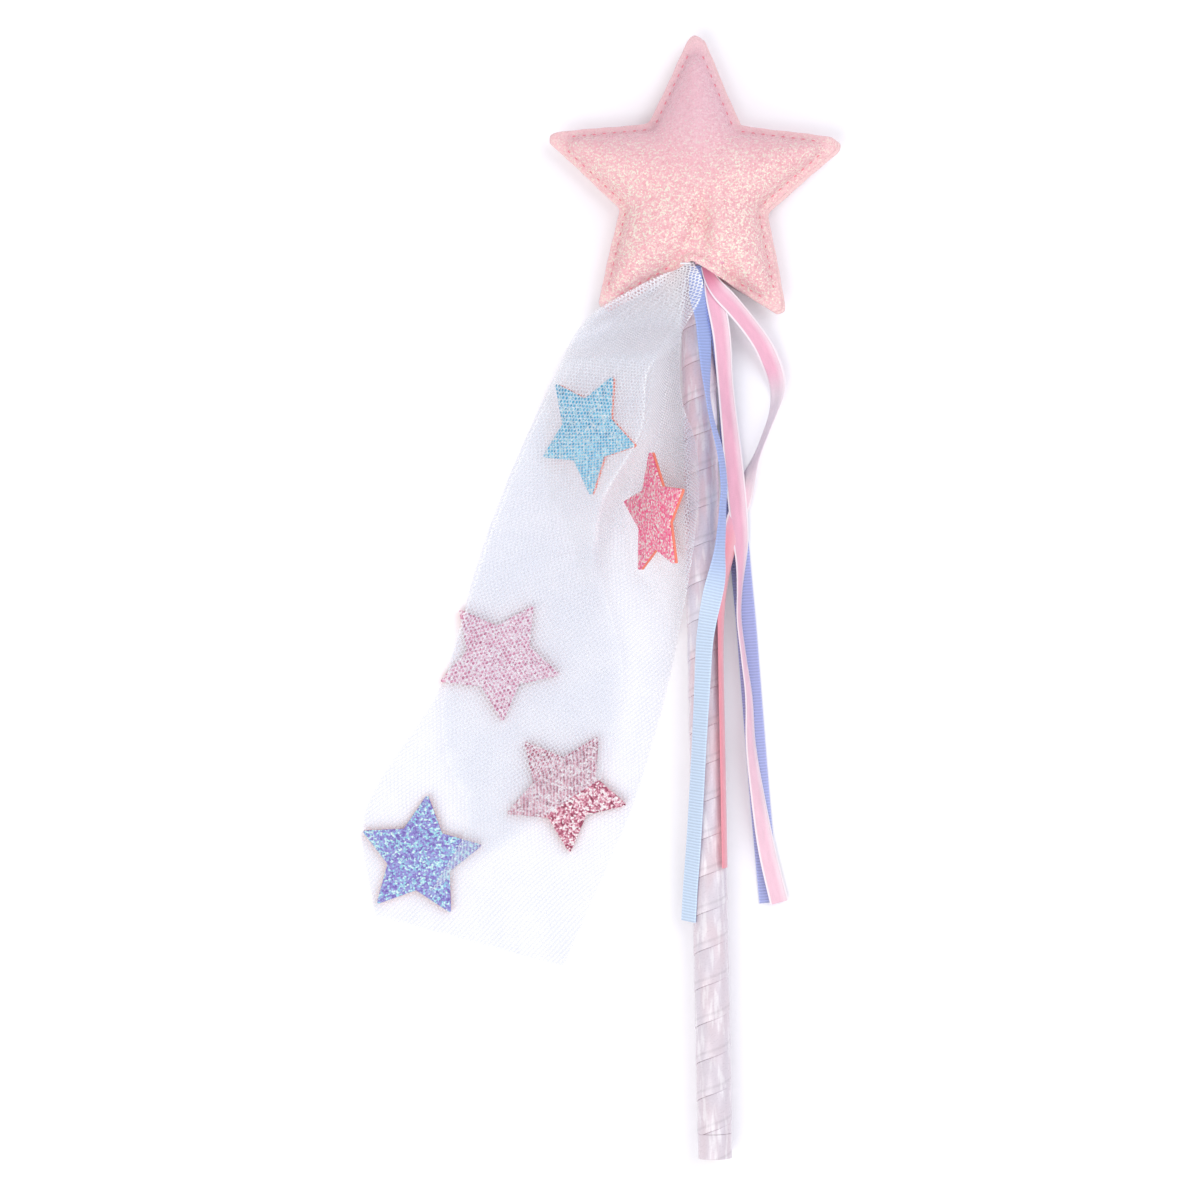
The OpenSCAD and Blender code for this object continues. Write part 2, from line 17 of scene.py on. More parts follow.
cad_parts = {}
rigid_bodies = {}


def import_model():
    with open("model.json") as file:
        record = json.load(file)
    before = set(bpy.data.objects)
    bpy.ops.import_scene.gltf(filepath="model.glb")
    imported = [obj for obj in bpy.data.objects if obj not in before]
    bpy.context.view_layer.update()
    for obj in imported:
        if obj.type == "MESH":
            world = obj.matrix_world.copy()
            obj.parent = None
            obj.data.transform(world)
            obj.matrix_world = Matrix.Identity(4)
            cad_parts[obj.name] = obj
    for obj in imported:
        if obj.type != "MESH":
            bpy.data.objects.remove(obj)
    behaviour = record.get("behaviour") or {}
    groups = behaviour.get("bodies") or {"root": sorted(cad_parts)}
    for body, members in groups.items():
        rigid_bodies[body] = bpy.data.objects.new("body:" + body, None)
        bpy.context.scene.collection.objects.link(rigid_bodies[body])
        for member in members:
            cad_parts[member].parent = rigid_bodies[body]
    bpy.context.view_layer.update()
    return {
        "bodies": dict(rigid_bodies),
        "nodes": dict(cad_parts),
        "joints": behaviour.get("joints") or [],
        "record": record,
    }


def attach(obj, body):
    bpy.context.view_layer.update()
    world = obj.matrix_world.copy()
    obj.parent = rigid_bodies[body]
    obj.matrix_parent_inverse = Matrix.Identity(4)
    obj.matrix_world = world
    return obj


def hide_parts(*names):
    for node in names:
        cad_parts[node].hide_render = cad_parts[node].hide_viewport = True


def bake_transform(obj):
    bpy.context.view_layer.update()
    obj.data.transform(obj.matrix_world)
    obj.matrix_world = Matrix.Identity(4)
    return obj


LOG = logging.getLogger("wand")
MM = 0.001
Colour = tuple[float, float, float]
Stops = tuple[tuple[float, Colour], ...]
Span = tuple[float, float]
Table = tuple[Span, ...]
Swell = tuple[float, float, float, float]
Route = tuple[tuple[float, float, float, float], ...]


class Body(str, Enum):
    """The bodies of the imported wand."""

    WAND = "wand"
    TRAIL = "tulle_trail"
    BUNCH = "ribbon_bunch"
    SKY = "sky_tail"


class Value:
    """A shader socket that takes part in Python sums."""

    def __init__(self, shader: "Shader", socket: bpy.types.NodeSocket) -> None:
        """Keeps the socket and the shader that it belongs to."""
        self.shader = shader
        self.socket = socket

    def __add__(self, other: "Number") -> "Value":
        """This value plus another."""
        return self.shader.sum("ADD", self, other)

    __radd__ = __add__

    def __sub__(self, other: "Number") -> "Value":
        """This value less another."""
        return self.shader.sum("SUBTRACT", self, other)

    def __rsub__(self, other: "Number") -> "Value":
        """Another value less this one."""
        return self.shader.sum("SUBTRACT", other, self)

    def __mul__(self, other: "Number") -> "Value":
        """This value times another."""
        return self.shader.sum("MULTIPLY", self, other)

    __rmul__ = __mul__

    def __truediv__(self, other: "Number") -> "Value":
        """This value over another."""
        return self.shader.sum("DIVIDE", self, other)

    def __pow__(self, other: "Number") -> "Value":
        """This value to a power."""
        return self.shader.sum("POWER", self, other)

    def cos(self) -> "Value":
        """Cosine of this value in radians."""
        return self.shader.sum("COSINE", self)

    def abs(self) -> "Value":
        """This value without its sign."""
        return self.shader.sum("ABSOLUTE", self)

    def wrap(self) -> "Value":
        """Fraction left over after whole numbers."""
        return self.shader.sum("FRACT", self)

    def ease(self, low: float, high: float) -> "Value":
        """Smooth step from 0 at low to 1 at high."""
        made = self.shader.node(
            "ShaderNodeMapRange",
            {"interpolation_type": "SMOOTHSTEP"},
            {"Value": self, "From Min": low, "From Max": high},
        )
        return Value(self.shader, made.outputs["Result"])


Number = Union[Value, float]


class Shader:
    """A material's nodes round one principled surface."""

    def __init__(self, name: str) -> None:
        """Makes an empty material with its principled surface.

        Args:
            name: the material's name.
        """
        self.material = bpy.data.materials.new(name)
        self.material.use_nodes = True
        self.tree = self.material.node_tree
        self.tree.nodes.clear()
        self.surface = self.node("ShaderNodeBsdfPrincipled")
        self.output = self.node("ShaderNodeOutputMaterial")
        self.tree.links.new(self.surface.outputs[0], self.output.inputs[0])

    def node(self, kind: str, settings: dict | None = None, sockets: dict | None = None) -> bpy.types.Node:
        """Adds a node.

        Args:
            kind: the node's type.
            settings: what is set on the node first; "stops" are a ramp's colours.
            sockets: values or links of its inputs, by name or place.

        Returns:
            The new node.
        """
        made = self.tree.nodes.new(kind)
        for key, value in (settings or {}).items():
            if key == "stops":
                self._set_stops(made.color_ramp, value)
            else:
                setattr(made, key, value)
        for key, value in (sockets or {}).items():
            self.feed(made.inputs[key], value)
        return made

    @staticmethod
    def _set_stops(ramp: bpy.types.ColorRamp, stops: Stops) -> None:
        """Puts colours at their places on a ramp.

        Args:
            ramp: the ramp to fill.
            stops: places from 0 to 1 with their colours.
        """
        while len(ramp.elements) < len(stops):
            ramp.elements.new(0.5)
        for element, (place, colour) in zip(ramp.elements, stops):
            element.position = place
            element.color = (*colour, 1)

    def feed(self, socket: bpy.types.NodeSocket, value: object) -> None:
        """Links a value to a socket, or sets the socket's own number or colour.

        Args:
            socket: the input to fill.
            value: a shader value, or a plain number or colour.
        """
        if isinstance(value, Value):
            self.tree.links.new(value.socket, socket)
        else:
            socket.default_value = value

    def sum(self, operation: str, *terms: Number) -> Value:
        """One step of arithmetic on numbers and values."""
        made = self.node("ShaderNodeMath", {"operation": operation}, dict(enumerate(terms)))
        return Value(self, made.outputs[0])

    def dress(self, **sockets: object) -> bpy.types.Material:
        """Sets sockets of the principled surface.

        Args:
            sockets: values by the sockets' names, with underscores for spaces.

        Returns:
            The finished material.
        """
        for key, value in sockets.items():
            if isinstance(value, tuple) and len(value) == 3:
                value = (*value, 1)
            self.feed(self.surface.inputs[key.replace("_", " ")], value)
        return self.material

    def place(self) -> Value:
        """Object coordinates in metres."""
        return Value(self, self.node("ShaderNodeTexCoord").outputs["Object"])

    def cloth(self) -> Value:
        """The piece's own map of its cloth, in metres."""
        return Value(self, self.node("ShaderNodeTexCoord").outputs["UV"])

    def attribute(self, name: str) -> Value:
        """A number kept on the mesh."""
        return Value(self, self.node("ShaderNodeAttribute", {"attribute_name": name}).outputs["Fac"])

    def axes(self, vector: Value) -> tuple[Value, Value, Value]:
        """The three parts of a vector."""
        made = self.node("ShaderNodeSeparateXYZ", None, {0: vector})
        return tuple(Value(self, made.outputs[i]) for i in range(3))

    def vector(self, x: Number, y: Number, z: Number) -> Value:
        """A vector of three values."""
        return Value(self, self.node("ShaderNodeCombineXYZ", None, {0: x, 1: y, 2: z}).outputs[0])

    def ramp(self, value: Value, stops: Stops) -> Value:
        """Colour at a value on a ramp of stops."""
        made = self.node("ShaderNodeValToRGB", {"stops": stops}, {"Fac": value})
        return Value(self, made.outputs["Color"])

    def mix(self, factor: Number, first: object, second: object, how: str = "MIX") -> Value:
        """Colour between two colours.

        Args:
            factor: share of the second colour.
            first: a colour, or a value that gives one.
            second: the other colour.
            how: the kind of mixing.

        Returns:
            The mixed colour.
        """
        ends = [(*c, 1) if isinstance(c, tuple) else c for c in (first, second)]
        settings = {"data_type": "RGBA", "blend_type": how}
        made = self.node("ShaderNodeMix", settings, {0: factor, 6: ends[0], 7: ends[1]})
        return Value(self, made.outputs[2])

    def shaded(self, tone: object, shade: Value) -> Value:
        """A colour times a grey value."""
        return self.mix(1.0, tone, self.vector(shade, shade, shade), "MULTIPLY")

    def noise(self, vector: Value, size: float, detail: float = 2) -> Value:
        """Cloudy noise whose patches are about a size in metres."""
        made = self.node("ShaderNodeTexNoise", None, {"Vector": vector, "Scale": 1 / size, "Detail": detail})
        return Value(self, made.outputs["Fac"])

    def flakes(self, vector: Value, size: float) -> tuple[Value, Value, Value]:
        """Cells of glitter.

        Args:
            vector: where on the piece.
            size: width of a flake in metres.

        Returns:
            Two random numbers of each flake, and the height of its tilted facet in metres.
        """
        cell = self.node("ShaderNodeTexVoronoi", None, {"Vector": vector, "Scale": 1 / size})
        chance = Value(self, cell.outputs["Color"])
        first, second, _ = self.axes(chance)
        lean = self.node("ShaderNodeVectorMath", {"operation": "SUBTRACT"}, {0: chance, 1: (0.5, 0.5, 0.5)})
        middle = Value(self, cell.outputs["Position"])
        reach = self.node("ShaderNodeVectorMath", {"operation": "SUBTRACT"}, {0: vector, 1: middle})
        ends = {0: Value(self, lean.outputs[0]), 1: Value(self, reach.outputs[0])}
        facet = self.node("ShaderNodeVectorMath", {"operation": "DOT_PRODUCT"}, ends)
        return first, second, Value(self, facet.outputs["Value"])

    def bump(self, height: Value, strength: float) -> Value:
        """Normal of a surface with that height in metres."""
        made = self.node("ShaderNodeBump", None, {"Strength": strength, "Distance": 1.0, "Height": height})
        return Value(self, made.outputs["Normal"])


class Finish(Protocol):
    """Anything that makes a material."""

    def make(self) -> bpy.types.Material:
        """The material."""


@dataclass(frozen=True)
class Glitter:
    """Cloth or foam coated with loose flakes."""

    name: str
    stops: Stops
    flake: float = 0.7 * MM
    lean: float = 0.75
    shine: float = 0.22
    fine_share: float = 0.28
    fine_size: float = 0.55
    patch: float = 14 * MM
    # Painted shade on the star's upper part: where it starts, how much it thins the bright flakes, and its
    # lilac colour.
    painted_shade_y: Span | None = None
    painted_shade: float = 0.0
    cool: Colour = (0.85, 0.57, 0.67)
    rim: Colour = (1.0, 0.70, 0.69)

    def make(self) -> bpy.types.Material:
        """Gives each flake its own colour, gloss and facet.

        Returns:
            The material.
        """
        shader = Shader(self.name)
        place = shader.place()
        chance, gloss, facet = shader.flakes(place, self.flake)
        fine, _, small = shader.flakes(place, self.flake * self.fine_size)
        pick = chance * (1 - self.fine_share) + fine * self.fine_share
        if not self.painted_shade_y:
            tone = shader.ramp(pick, self.stops)
        else:
            x, y, _ = shader.axes(place)
            # Painted shade: towards the star's top the bright flakes grow fewer and the colour turns lilac,
            # as where the cushion faces away from the light.
            far = (y - x.abs() * 0.25).ease(*self.painted_shade_y)
            rim = shader.attribute("rim")
            pick = pick - far * self.painted_shade - rim * 0.1 + shader.noise(place, self.patch) * 0.2 - 0.1
            tone = shader.mix(far * 0.55, shader.ramp(pick, self.stops), self.cool)
            tone = shader.mix(rim * 0.75, tone, self.rim)
        return shader.dress(
            Base_Color=tone,
            Roughness=gloss * 0.4 + self.shine,
            Normal=shader.bump(facet * 0.7 + small * 0.5, self.lean),
            Specular_IOR_Level=0.6,
        )


@dataclass(frozen=True)
class SatinWrap:
    """Pearly band wound round the stick."""

    name: str
    pitch: float
    base: Colour = (0.69, 0.61, 0.66)
    warm: Colour = (0.90, 0.62, 0.68)
    cool: Colour = (0.74, 0.74, 0.88)
    painted_highlight_tone: Colour = (0.95, 0.92, 0.94)
    thread: float = 0.5 * MM
    patch: float = 6 * MM
    painted_highlight: float = 1.6 * MM
    painted_reflection_y: Span = (0.02, 0.26)

    def make(self) -> bpy.types.Material:
        """Draws silky threads along the winding, darker at its seams, with drifting warm and cool tints, a
        painted reflection of the pink ribbons towards the star, and white streaks of painted highlight.

        Returns:
            The material.
        """
        shader = Shader(self.name)
        place = shader.place()
        x, y, z = shader.axes(place)
        turn = shader.sum("ARCTAN2", x, z) / (2 * math.pi)
        phase = (y / self.pitch - turn).wrap()
        seam = 1 - (phase - 0.5).abs().ease(0.43, 0.5) * 0.12
        streak = shader.noise(shader.vector(phase * 0.012, turn * 0.02, y * 0.3), self.thread, 3)
        drift = shader.noise(shader.vector(x, y * 0.35, z), self.patch)
        tint = shader.mix(drift.ease(0.35, 0.65), self.warm, self.cool)
        # The drifting warm and cool tints are the satin's own. Their growth towards the star is a painted
        # reflection of the pink ribbons that lie along it.
        tint = shader.mix(y.ease(*self.painted_reflection_y) * 0.45 + 0.12, self.base, tint)
        # Painted highlight: white streaks drawn out along the stick, standing for the satin's gloss under the
        # lamps.
        painted_highlight = shader.noise(shader.vector(x, y * 0.16, z), self.painted_highlight).ease(0.50, 0.66)
        tint = shader.mix(painted_highlight * 0.5, tint, self.painted_highlight_tone)
        return shader.dress(
            Base_Color=shader.shaded(tint, seam * (streak * 0.16 + 0.92)),
            Roughness=streak * 0.2 + 0.2,
            Coat_Weight=drift * 0.5 + 0.1,
            Normal=shader.bump(streak * (0.05 * MM) + drift * (0.6 * MM), 0.7),
            Coat_Roughness=0.12,
            Sheen_Weight=0.15,
        )


@dataclass(frozen=True)
class Net:
    """Open tulle net."""

    name: str
    cell: float = 1.35 * MM
    tone: Colour = (0.75, 0.78, 0.87)
    painted_light_tone: Colour = (0.97, 0.97, 1.0)
    open_at: Span = (-0.85, 0.25)
    turn: float = -0.45
    cover: float = 0.48
    haze: float = 0.04
    patch: float = 9 * MM
    painted_light_gather: Span = (1.0, 2.4)

    def make(self) -> bpy.types.Material:
        """Opens six-sided holes on the cloth's map, which close up where the cloth is gathered. Gathered
        cloth is also painted whiter, as painted light.

        Returns:
            The material.
        """
        shader = Shader(self.name)
        u, v, _ = shader.axes(shader.cloth())
        wave = 4 * math.pi / (math.sqrt(3) * self.cell)
        angles = [self.turn + k * math.pi / 3 for k in range(3)]
        rows = [(u * (wave * math.cos(a)) + v * (wave * math.sin(a))).cos() for a in angles]
        thread = 1 - (rows[0] + rows[1] + rows[2]).ease(*self.open_at)
        cover = thread * self.cover + self.haze
        gather = shader.attribute("gather")
        cloud = shader.noise(shader.place(), self.patch)
        # Painted light: gathered net turns near white, lifting the shade at the tie and standing for light
        # scattered through the stacked layers. The cloudy patches are the net's own.
        pale = cloud.ease(0.3, 0.7) * 0.3 + gather.ease(*self.painted_light_gather) * 0.7
        return shader.dress(
            Base_Color=shader.mix(pale, self.tone, self.painted_light_tone),
            Roughness=cloud * 0.2 + 0.55,
            Alpha=1 - (1 - cover) ** gather,
            Normal=shader.bump(thread * (0.12 * MM), 0.4),
            Sheen_Weight=0.7,
            Sheen_Roughness=0.5,
        )


@dataclass(frozen=True)
class Grosgrain:
    """Ribbed ribbon with corded edges."""

    name: str
    head: Colour
    tail: Colour
    painted_light_at: Span
    width: float
    rib: float = 0.95 * MM
    yarn: float = 0.12 * MM
    corded: Span = (0.40, 0.47)

    def make(self) -> bpy.types.Material:
        """Draws ribs across the ribbon, on the ribbon's own map, with painted light and shade on the ribs and
        along the ribbon.

        Returns:
            The material.
        """
        shader = Shader(self.name)
        u, v, _ = shader.axes(shader.cloth())
        rib = (v * (2 * math.pi / self.rib)).cos() * 0.5 + 0.5
        edge = (u / self.width).abs().ease(*self.corded)
        yarn = shader.noise(shader.vector(u * 0.15, v, 0.0), self.yarn, 3)
        # Painted light and shade: the ribbon goes from its darker head colour by the tie to its paler tail
        # colour, as its lower run lies in the light.
        tone = shader.mix(v.ease(*self.painted_light_at), self.head, self.tail)
        relief = (rib * (1 - edge) + edge * 0.5) * (0.14 * MM) + yarn * (0.03 * MM)
        return shader.dress(
            # Painted light and shade on the ribs: their crests are lighter and their furrows darker in
            # colour, over their relief. The yarn flecks are the ribbon's own.
            Base_Color=shader.shaded(tone, rib * 0.22 + yarn * 0.14 + 0.74 + edge * 0.06),
            Roughness=yarn * 0.25 + 0.45,
            Normal=shader.bump(relief, 0.9),
            Sheen_Weight=0.25,
        )


@dataclass(frozen=True)
class Velvet:
    """Short-pile ribbon with pale woven edges."""

    name: str
    pile: Colour
    edge: Colour
    width: float
    painted_tie_shadow: Colour = (0.74, 0.20, 0.32)
    # Colour and span of the painted shade where the loop runs edge-on down the stick.
    glow_and_painted_shade: Colour = (0.95, 0.34, 0.41)
    painted_shade_at: Span = (9.0, 10.0)
    light: float = 0.0
    light_from: Span = (0.085, 0.14)
    light_to: Span = (9.0, 10.0)
    # Span of the painted shadow where the ribbon leaves the tie.
    tied: Span = (0.003, 0.011)
    woven: Span = (0.385, 0.43)
    nap: float = 0.25 * MM
    brush: float = 2.2 * MM

    def make(self) -> bpy.types.Material:
        """Brushes pile between two pale edges, on the ribbon's own map, with a painted shadow at the tie,
        painted shade where the loop runs edge-on down the stick and painted light along lit stretches.

        Returns:
            The material.
        """
        shader = Shader(self.name)
        place = shader.place()
        u, v, _ = shader.axes(shader.cloth())
        nap = shader.noise(place, self.nap, 3)
        brushed = shader.noise(shader.vector(u, v * 0.25, 0.0), self.brush)
        across = u / self.width
        edge = across.abs().ease(*self.woven)
        # Painted shade: along its span the loop turns a saturated coral, as the velvet looks in shadow where
        # it runs edge-on down the stick. A pale strip stays on its left side, its woven edge.
        glow_and_painted_shade = v.ease(*self.painted_shade_at)
        plain = 1 - glow_and_painted_shade
        pile = shader.mix(glow_and_painted_shade, self.pile, self.glow_and_painted_shade)
        pile = shader.mix((0 - across).ease(0.05, 0.36) * plain * 0.5, pile, self.edge)
        pile = shader.mix(glow_and_painted_shade * (0 - across).ease(-0.25, 0.4) * 0.3, pile, self.edge)
        # Painted light: along the span set for it the pile pales towards the edge colour, as where the ribbon
        # lies lit.
        light = v.ease(*self.light_from) * (1 - v.ease(*self.light_to))
        pile = shader.mix(light * self.light, pile, self.edge)
        # Painted shadow: dark red where the ribbon comes out of the tie, in the star's shade.
        pile = shader.mix((1 - v.ease(*self.tied)) * 0.8, pile, self.painted_tie_shadow)
        pile = shader.shaded(pile, nap * 0.22 + brushed * 0.24 + 0.76)
        return shader.dress(
            Base_Color=shader.mix(edge * plain, pile, self.edge),
            Roughness=nap * 0.2 + 0.7,
            Normal=shader.bump(nap * (0.12 * MM) * (1 - edge) - edge * (0.1 * MM), 0.8),
            Sheen_Weight=0.3,
            Sheen_Roughness=0.4,
        )


@dataclass(frozen=True)
class Plain:
    """Plain matter with fine grain: foam, thread, wood, glue or fibre."""

    name: str
    tone: Colour
    grain: float = 0.4 * MM
    stretch: float = 1.0
    rough: float = 0.75
    relief: float = 0.1 * MM
    sheen: float = 0.0
    change: float = 0.18

    def make(self) -> bpy.types.Material:
        """Lays grain in colour, gloss and relief, drawn out along the stick by stretch.

        Returns:
            The material.
        """
        shader = Shader(self.name)
        x, y, z = shader.axes(shader.place())
        grain = shader.noise(shader.vector(x, y / self.stretch, z), self.grain, 4)
        shade = grain * (2 * self.change) + (1 - self.change)
        return shader.dress(
            Base_Color=shader.shaded(self.tone, shade),
            Roughness=grain * 0.2 + (self.rough - 0.1),
            Normal=shader.bump(grain * self.relief, 0.8),
            Sheen_Weight=self.sheen,
        )


def deselect() -> None:
    """Leaves object mode's selection empty, so that operators act on new pieces alone."""
    if bpy.context.object and bpy.context.object.mode != "OBJECT":
        bpy.ops.object.mode_set(mode="OBJECT")
    bpy.ops.object.select_all(action="DESELECT")


def take(piece: bpy.types.Object) -> None:
    """Makes one piece the only selected and active object.

    Args:
        piece: the piece to take.
    """
    deselect()
    piece.select_set(True)
    bpy.context.view_layer.objects.active = piece


def apply_modifiers(piece: bpy.types.Object) -> None:
    """Applies all of a piece's modifiers in order.

    Args:
        piece: the piece to finish.
    """
    take(piece)
    for modifier in list(piece.modifiers):
        bpy.ops.object.modifier_apply(modifier=modifier.name)


def from_points(name: str, points: Sequence, faces: Sequence) -> bpy.types.Object:
    """A new mesh object at the origin, for cloth and cords.

    Args:
        name: the piece's name.
        points: its points in metres.
        faces: numbers of the points round each face.

    Returns:
        The new piece.
    """
    mesh = bpy.data.meshes.new(name)
    mesh.from_pydata([tuple(map(float, p)) for p in points], [], [tuple(map(int, f)) for f in faces])
    mesh.validate()
    made = bpy.data.objects.new(name, mesh)
    bpy.context.scene.collection.objects.link(made)
    return made


def points_of(piece: bpy.types.Object) -> np.ndarray:
    """A mesh's points.

    Args:
        piece: the piece to read.

    Returns:
        The points as rows of x, y and z in metres.
    """
    flat = np.zeros(len(piece.data.vertices) * 3)
    piece.data.vertices.foreach_get("co", flat)
    return flat.reshape(-1, 3)


def set_points(piece: bpy.types.Object, points: np.ndarray) -> None:
    """Moves a mesh's points."""
    piece.data.vertices.foreach_set("co", np.asarray(points, np.float32).ravel())
    piece.data.update()


def coat(piece: bpy.types.Object, material: bpy.types.Material) -> None:
    """Gives a piece that one material."""
    piece.data.materials.clear()
    piece.data.materials.append(material)


def smooth_shade(piece: bpy.types.Object, angle: float = 180) -> None:
    """Smooth shading up to an angle in degrees between faces."""
    take(piece)
    bpy.ops.object.shade_smooth_by_angle(angle=math.radians(angle))


def face_outward(piece: bpy.types.Object) -> None:
    """Turns all faces of a closed mesh outward.

    Args:
        piece: the piece to turn.
    """
    take(piece)
    bpy.ops.object.mode_set(mode="EDIT")
    bpy.ops.mesh.select_all(action="SELECT")
    bpy.ops.mesh.normals_make_consistent(inside=False)
    bpy.ops.object.mode_set(mode="OBJECT")


def round_rims(piece: bpy.types.Object, width: float, angle: float) -> None:
    """Adds a rounding of a piece's sharp edges.

    Args:
        piece: the piece to round.
        width: how far the rounding reaches, in metres.
        angle: the least angle in degrees of an edge that it rounds.
    """
    rim = piece.modifiers.new("rim", "BEVEL")
    rim.width = width
    rim.segments = 3
    rim.limit_method = "ANGLE"
    rim.angle_limit = math.radians(angle)


def hand_over(
    piece: bpy.types.Object, body: Body, slot: str, *nodes: str, bends: bool = False
) -> bpy.types.Object:
    """Sets a finished piece on its body, or bakes a bending cloth's transform in and leaves it off the body;
    hides the solids it stands for, and reports it.

    Args:
        piece: the finished piece.
        body: the body that it moves with.
        slot: its material slot; not used.
        nodes: the solids that it stands for.
        bends: whether it is cloth that bends at the tie, between its body and the one that carries it.

    Returns:
        The same piece.
    """
    if bends:
        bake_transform(piece)
    else:
        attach(piece, body.value)
    if nodes:
        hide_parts(*nodes)
    LOG.info("%s rides on %s for %s", piece.name, body.value, ", ".join(nodes))
    return piece


def put_map(piece: bpy.types.Object, u: np.ndarray, v: np.ndarray) -> None:
    """Writes a map of the cloth.

    Args:
        piece: the piece to map.
        u: place across the cloth in metres, one per point.
        v: place along it.
    """
    layer = piece.data.uv_layers.new(name="cloth")
    corners = np.zeros(len(piece.data.loops), np.int32)
    piece.data.loops.foreach_get("vertex_index", corners)
    pairs = np.stack([np.asarray(u)[corners], np.asarray(v)[corners]], 1)
    layer.data.foreach_set("uv", pairs.astype(np.float32).ravel())


def smooth(t: np.ndarray) -> np.ndarray:
    """Smooth step from 0 to 1, held outside that span."""
    c = np.clip(t, 0, 1)
    return c * c * (3 - 2 * c)


def bell(t: np.ndarray, middle: float, width: float) -> np.ndarray:
    """Bell curve that is 1 at its middle."""
    return np.exp(-(((t - middle) / width) ** 2))


def swell(t: np.ndarray, low: float, rise: float, high: float, fall: float) -> np.ndarray:
    """Smooth rise from 0 to 1 that starts at low, and smooth fall that starts at high, with their runs."""
    return smooth((t - low) / rise) * (1 - smooth((t - high) / fall))


def lookup(share: np.ndarray, table: Table) -> np.ndarray:
    """Straight lines between a table's pairs."""
    return np.interp(share, [row[0] for row in table], [row[1] for row in table])


def curve_through(points: Sequence, steps: int) -> np.ndarray:
    """Smooth curve through points.

    Args:
        points: the points as rows.
        steps: steps from each point to the next.

    Returns:
        The curve's points as rows.
    """
    p = np.asarray(points, float)
    padded = np.vstack([2 * p[0] - p[1], p, 2 * p[-1] - p[-2]])
    t = np.linspace(0, 1, steps, endpoint=False)[:, None]
    rows = []
    for a, b, c, d in zip(padded, padded[1:], padded[2:], padded[3:]):
        square = 2 * a - 5 * b + 4 * c - d
        cube = 3 * b - a - 3 * c + d
        rows.append(0.5 * (2 * b + (c - a) * t + square * t**2 + cube * t**3))
    return np.vstack([*rows, p[-1:]])


def run_along(points: np.ndarray) -> np.ndarray:
    """Distance along a line of points from its start to each of them."""
    return np.concatenate([[0], np.cumsum(np.linalg.norm(np.diff(points, axis=0), axis=1))])


def grid_faces(rows: int, cols: int, closed: bool, first: int = 0) -> list[tuple[int, int, int, int]]:
    """Four-sided faces between neighbouring rows of points.

    Args:
        rows: count of rows.
        cols: points in each row.
        closed: whether each row runs round to its start.
        first: number of the first point.

    Returns:
        The faces, as numbers of points.
    """
    faces = []
    for k in range(rows - 1):
        here, there = first + k * cols, first + (k + 1) * cols
        for j in range(cols if closed else cols - 1):
            n = (j + 1) % cols
            faces.append((here + j, there + j, there + n, here + n))
    return faces


def star_ring(tip: float, notch: float, rounding: float, per_side: int) -> np.ndarray:
    """Outline of a five-armed star, anticlockwise from a notch, first arm along +X.

    Args:
        tip: radius at the tips.
        notch: radius at the notches.
        rounding: radius of the rounded tips.
        per_side: steps along each side of an arm.

    Returns:
        The points as rows of x and y.
    """
    alpha = math.atan2(notch * math.sin(math.pi / 5), tip - notch * math.cos(math.pi / 5))
    hub = tip - rounding
    low = np.array([math.cos(math.pi / 5), -math.sin(math.pi / 5)]) * notch
    touch = np.array([hub + rounding * math.sin(alpha), -rounding * math.cos(alpha)])
    t = np.linspace(0, 1, per_side + 1)[:, None]
    rise = low + (touch - low) * t
    bend = np.linspace(alpha - math.pi / 2, math.pi / 2 - alpha, 7)[1:-1]
    nose = np.stack([hub + rounding * np.cos(bend), rounding * np.sin(bend)], 1)
    fall = rise[:0:-1] * (1, -1)
    arm = np.vstack([rise, nose, fall])
    turns = [k * 2 * math.pi / 5 for k in range(5)]
    spins = [np.array([[math.cos(a), math.sin(a)], [-math.sin(a), math.cos(a)]]) for a in turns]
    return np.vstack([arm @ spin for spin in spins])


@dataclass(frozen=True)
class Lamp:
    """A large soft lamp, placed from the middle of the wand; lengths in metres."""

    name: str
    place: tuple[float, float, float]
    power: float
    tone: Colour
    size: float = 1.5

    def build(self, target: Vector) -> None:
        """Hangs the lamp and turns it.

        Args:
            target: the point that it looks at.
        """
        lamp = bpy.data.lights.new(self.name, "AREA")
        lamp.size = self.size
        lamp.energy = self.power
        lamp.color = self.tone
        made = bpy.data.objects.new(self.name, lamp)
        bpy.context.scene.collection.objects.link(made)
        made.location = target + Vector(self.place)
        made.rotation_euler = (target - made.location).to_track_quat("-Z", "Y").to_euler()


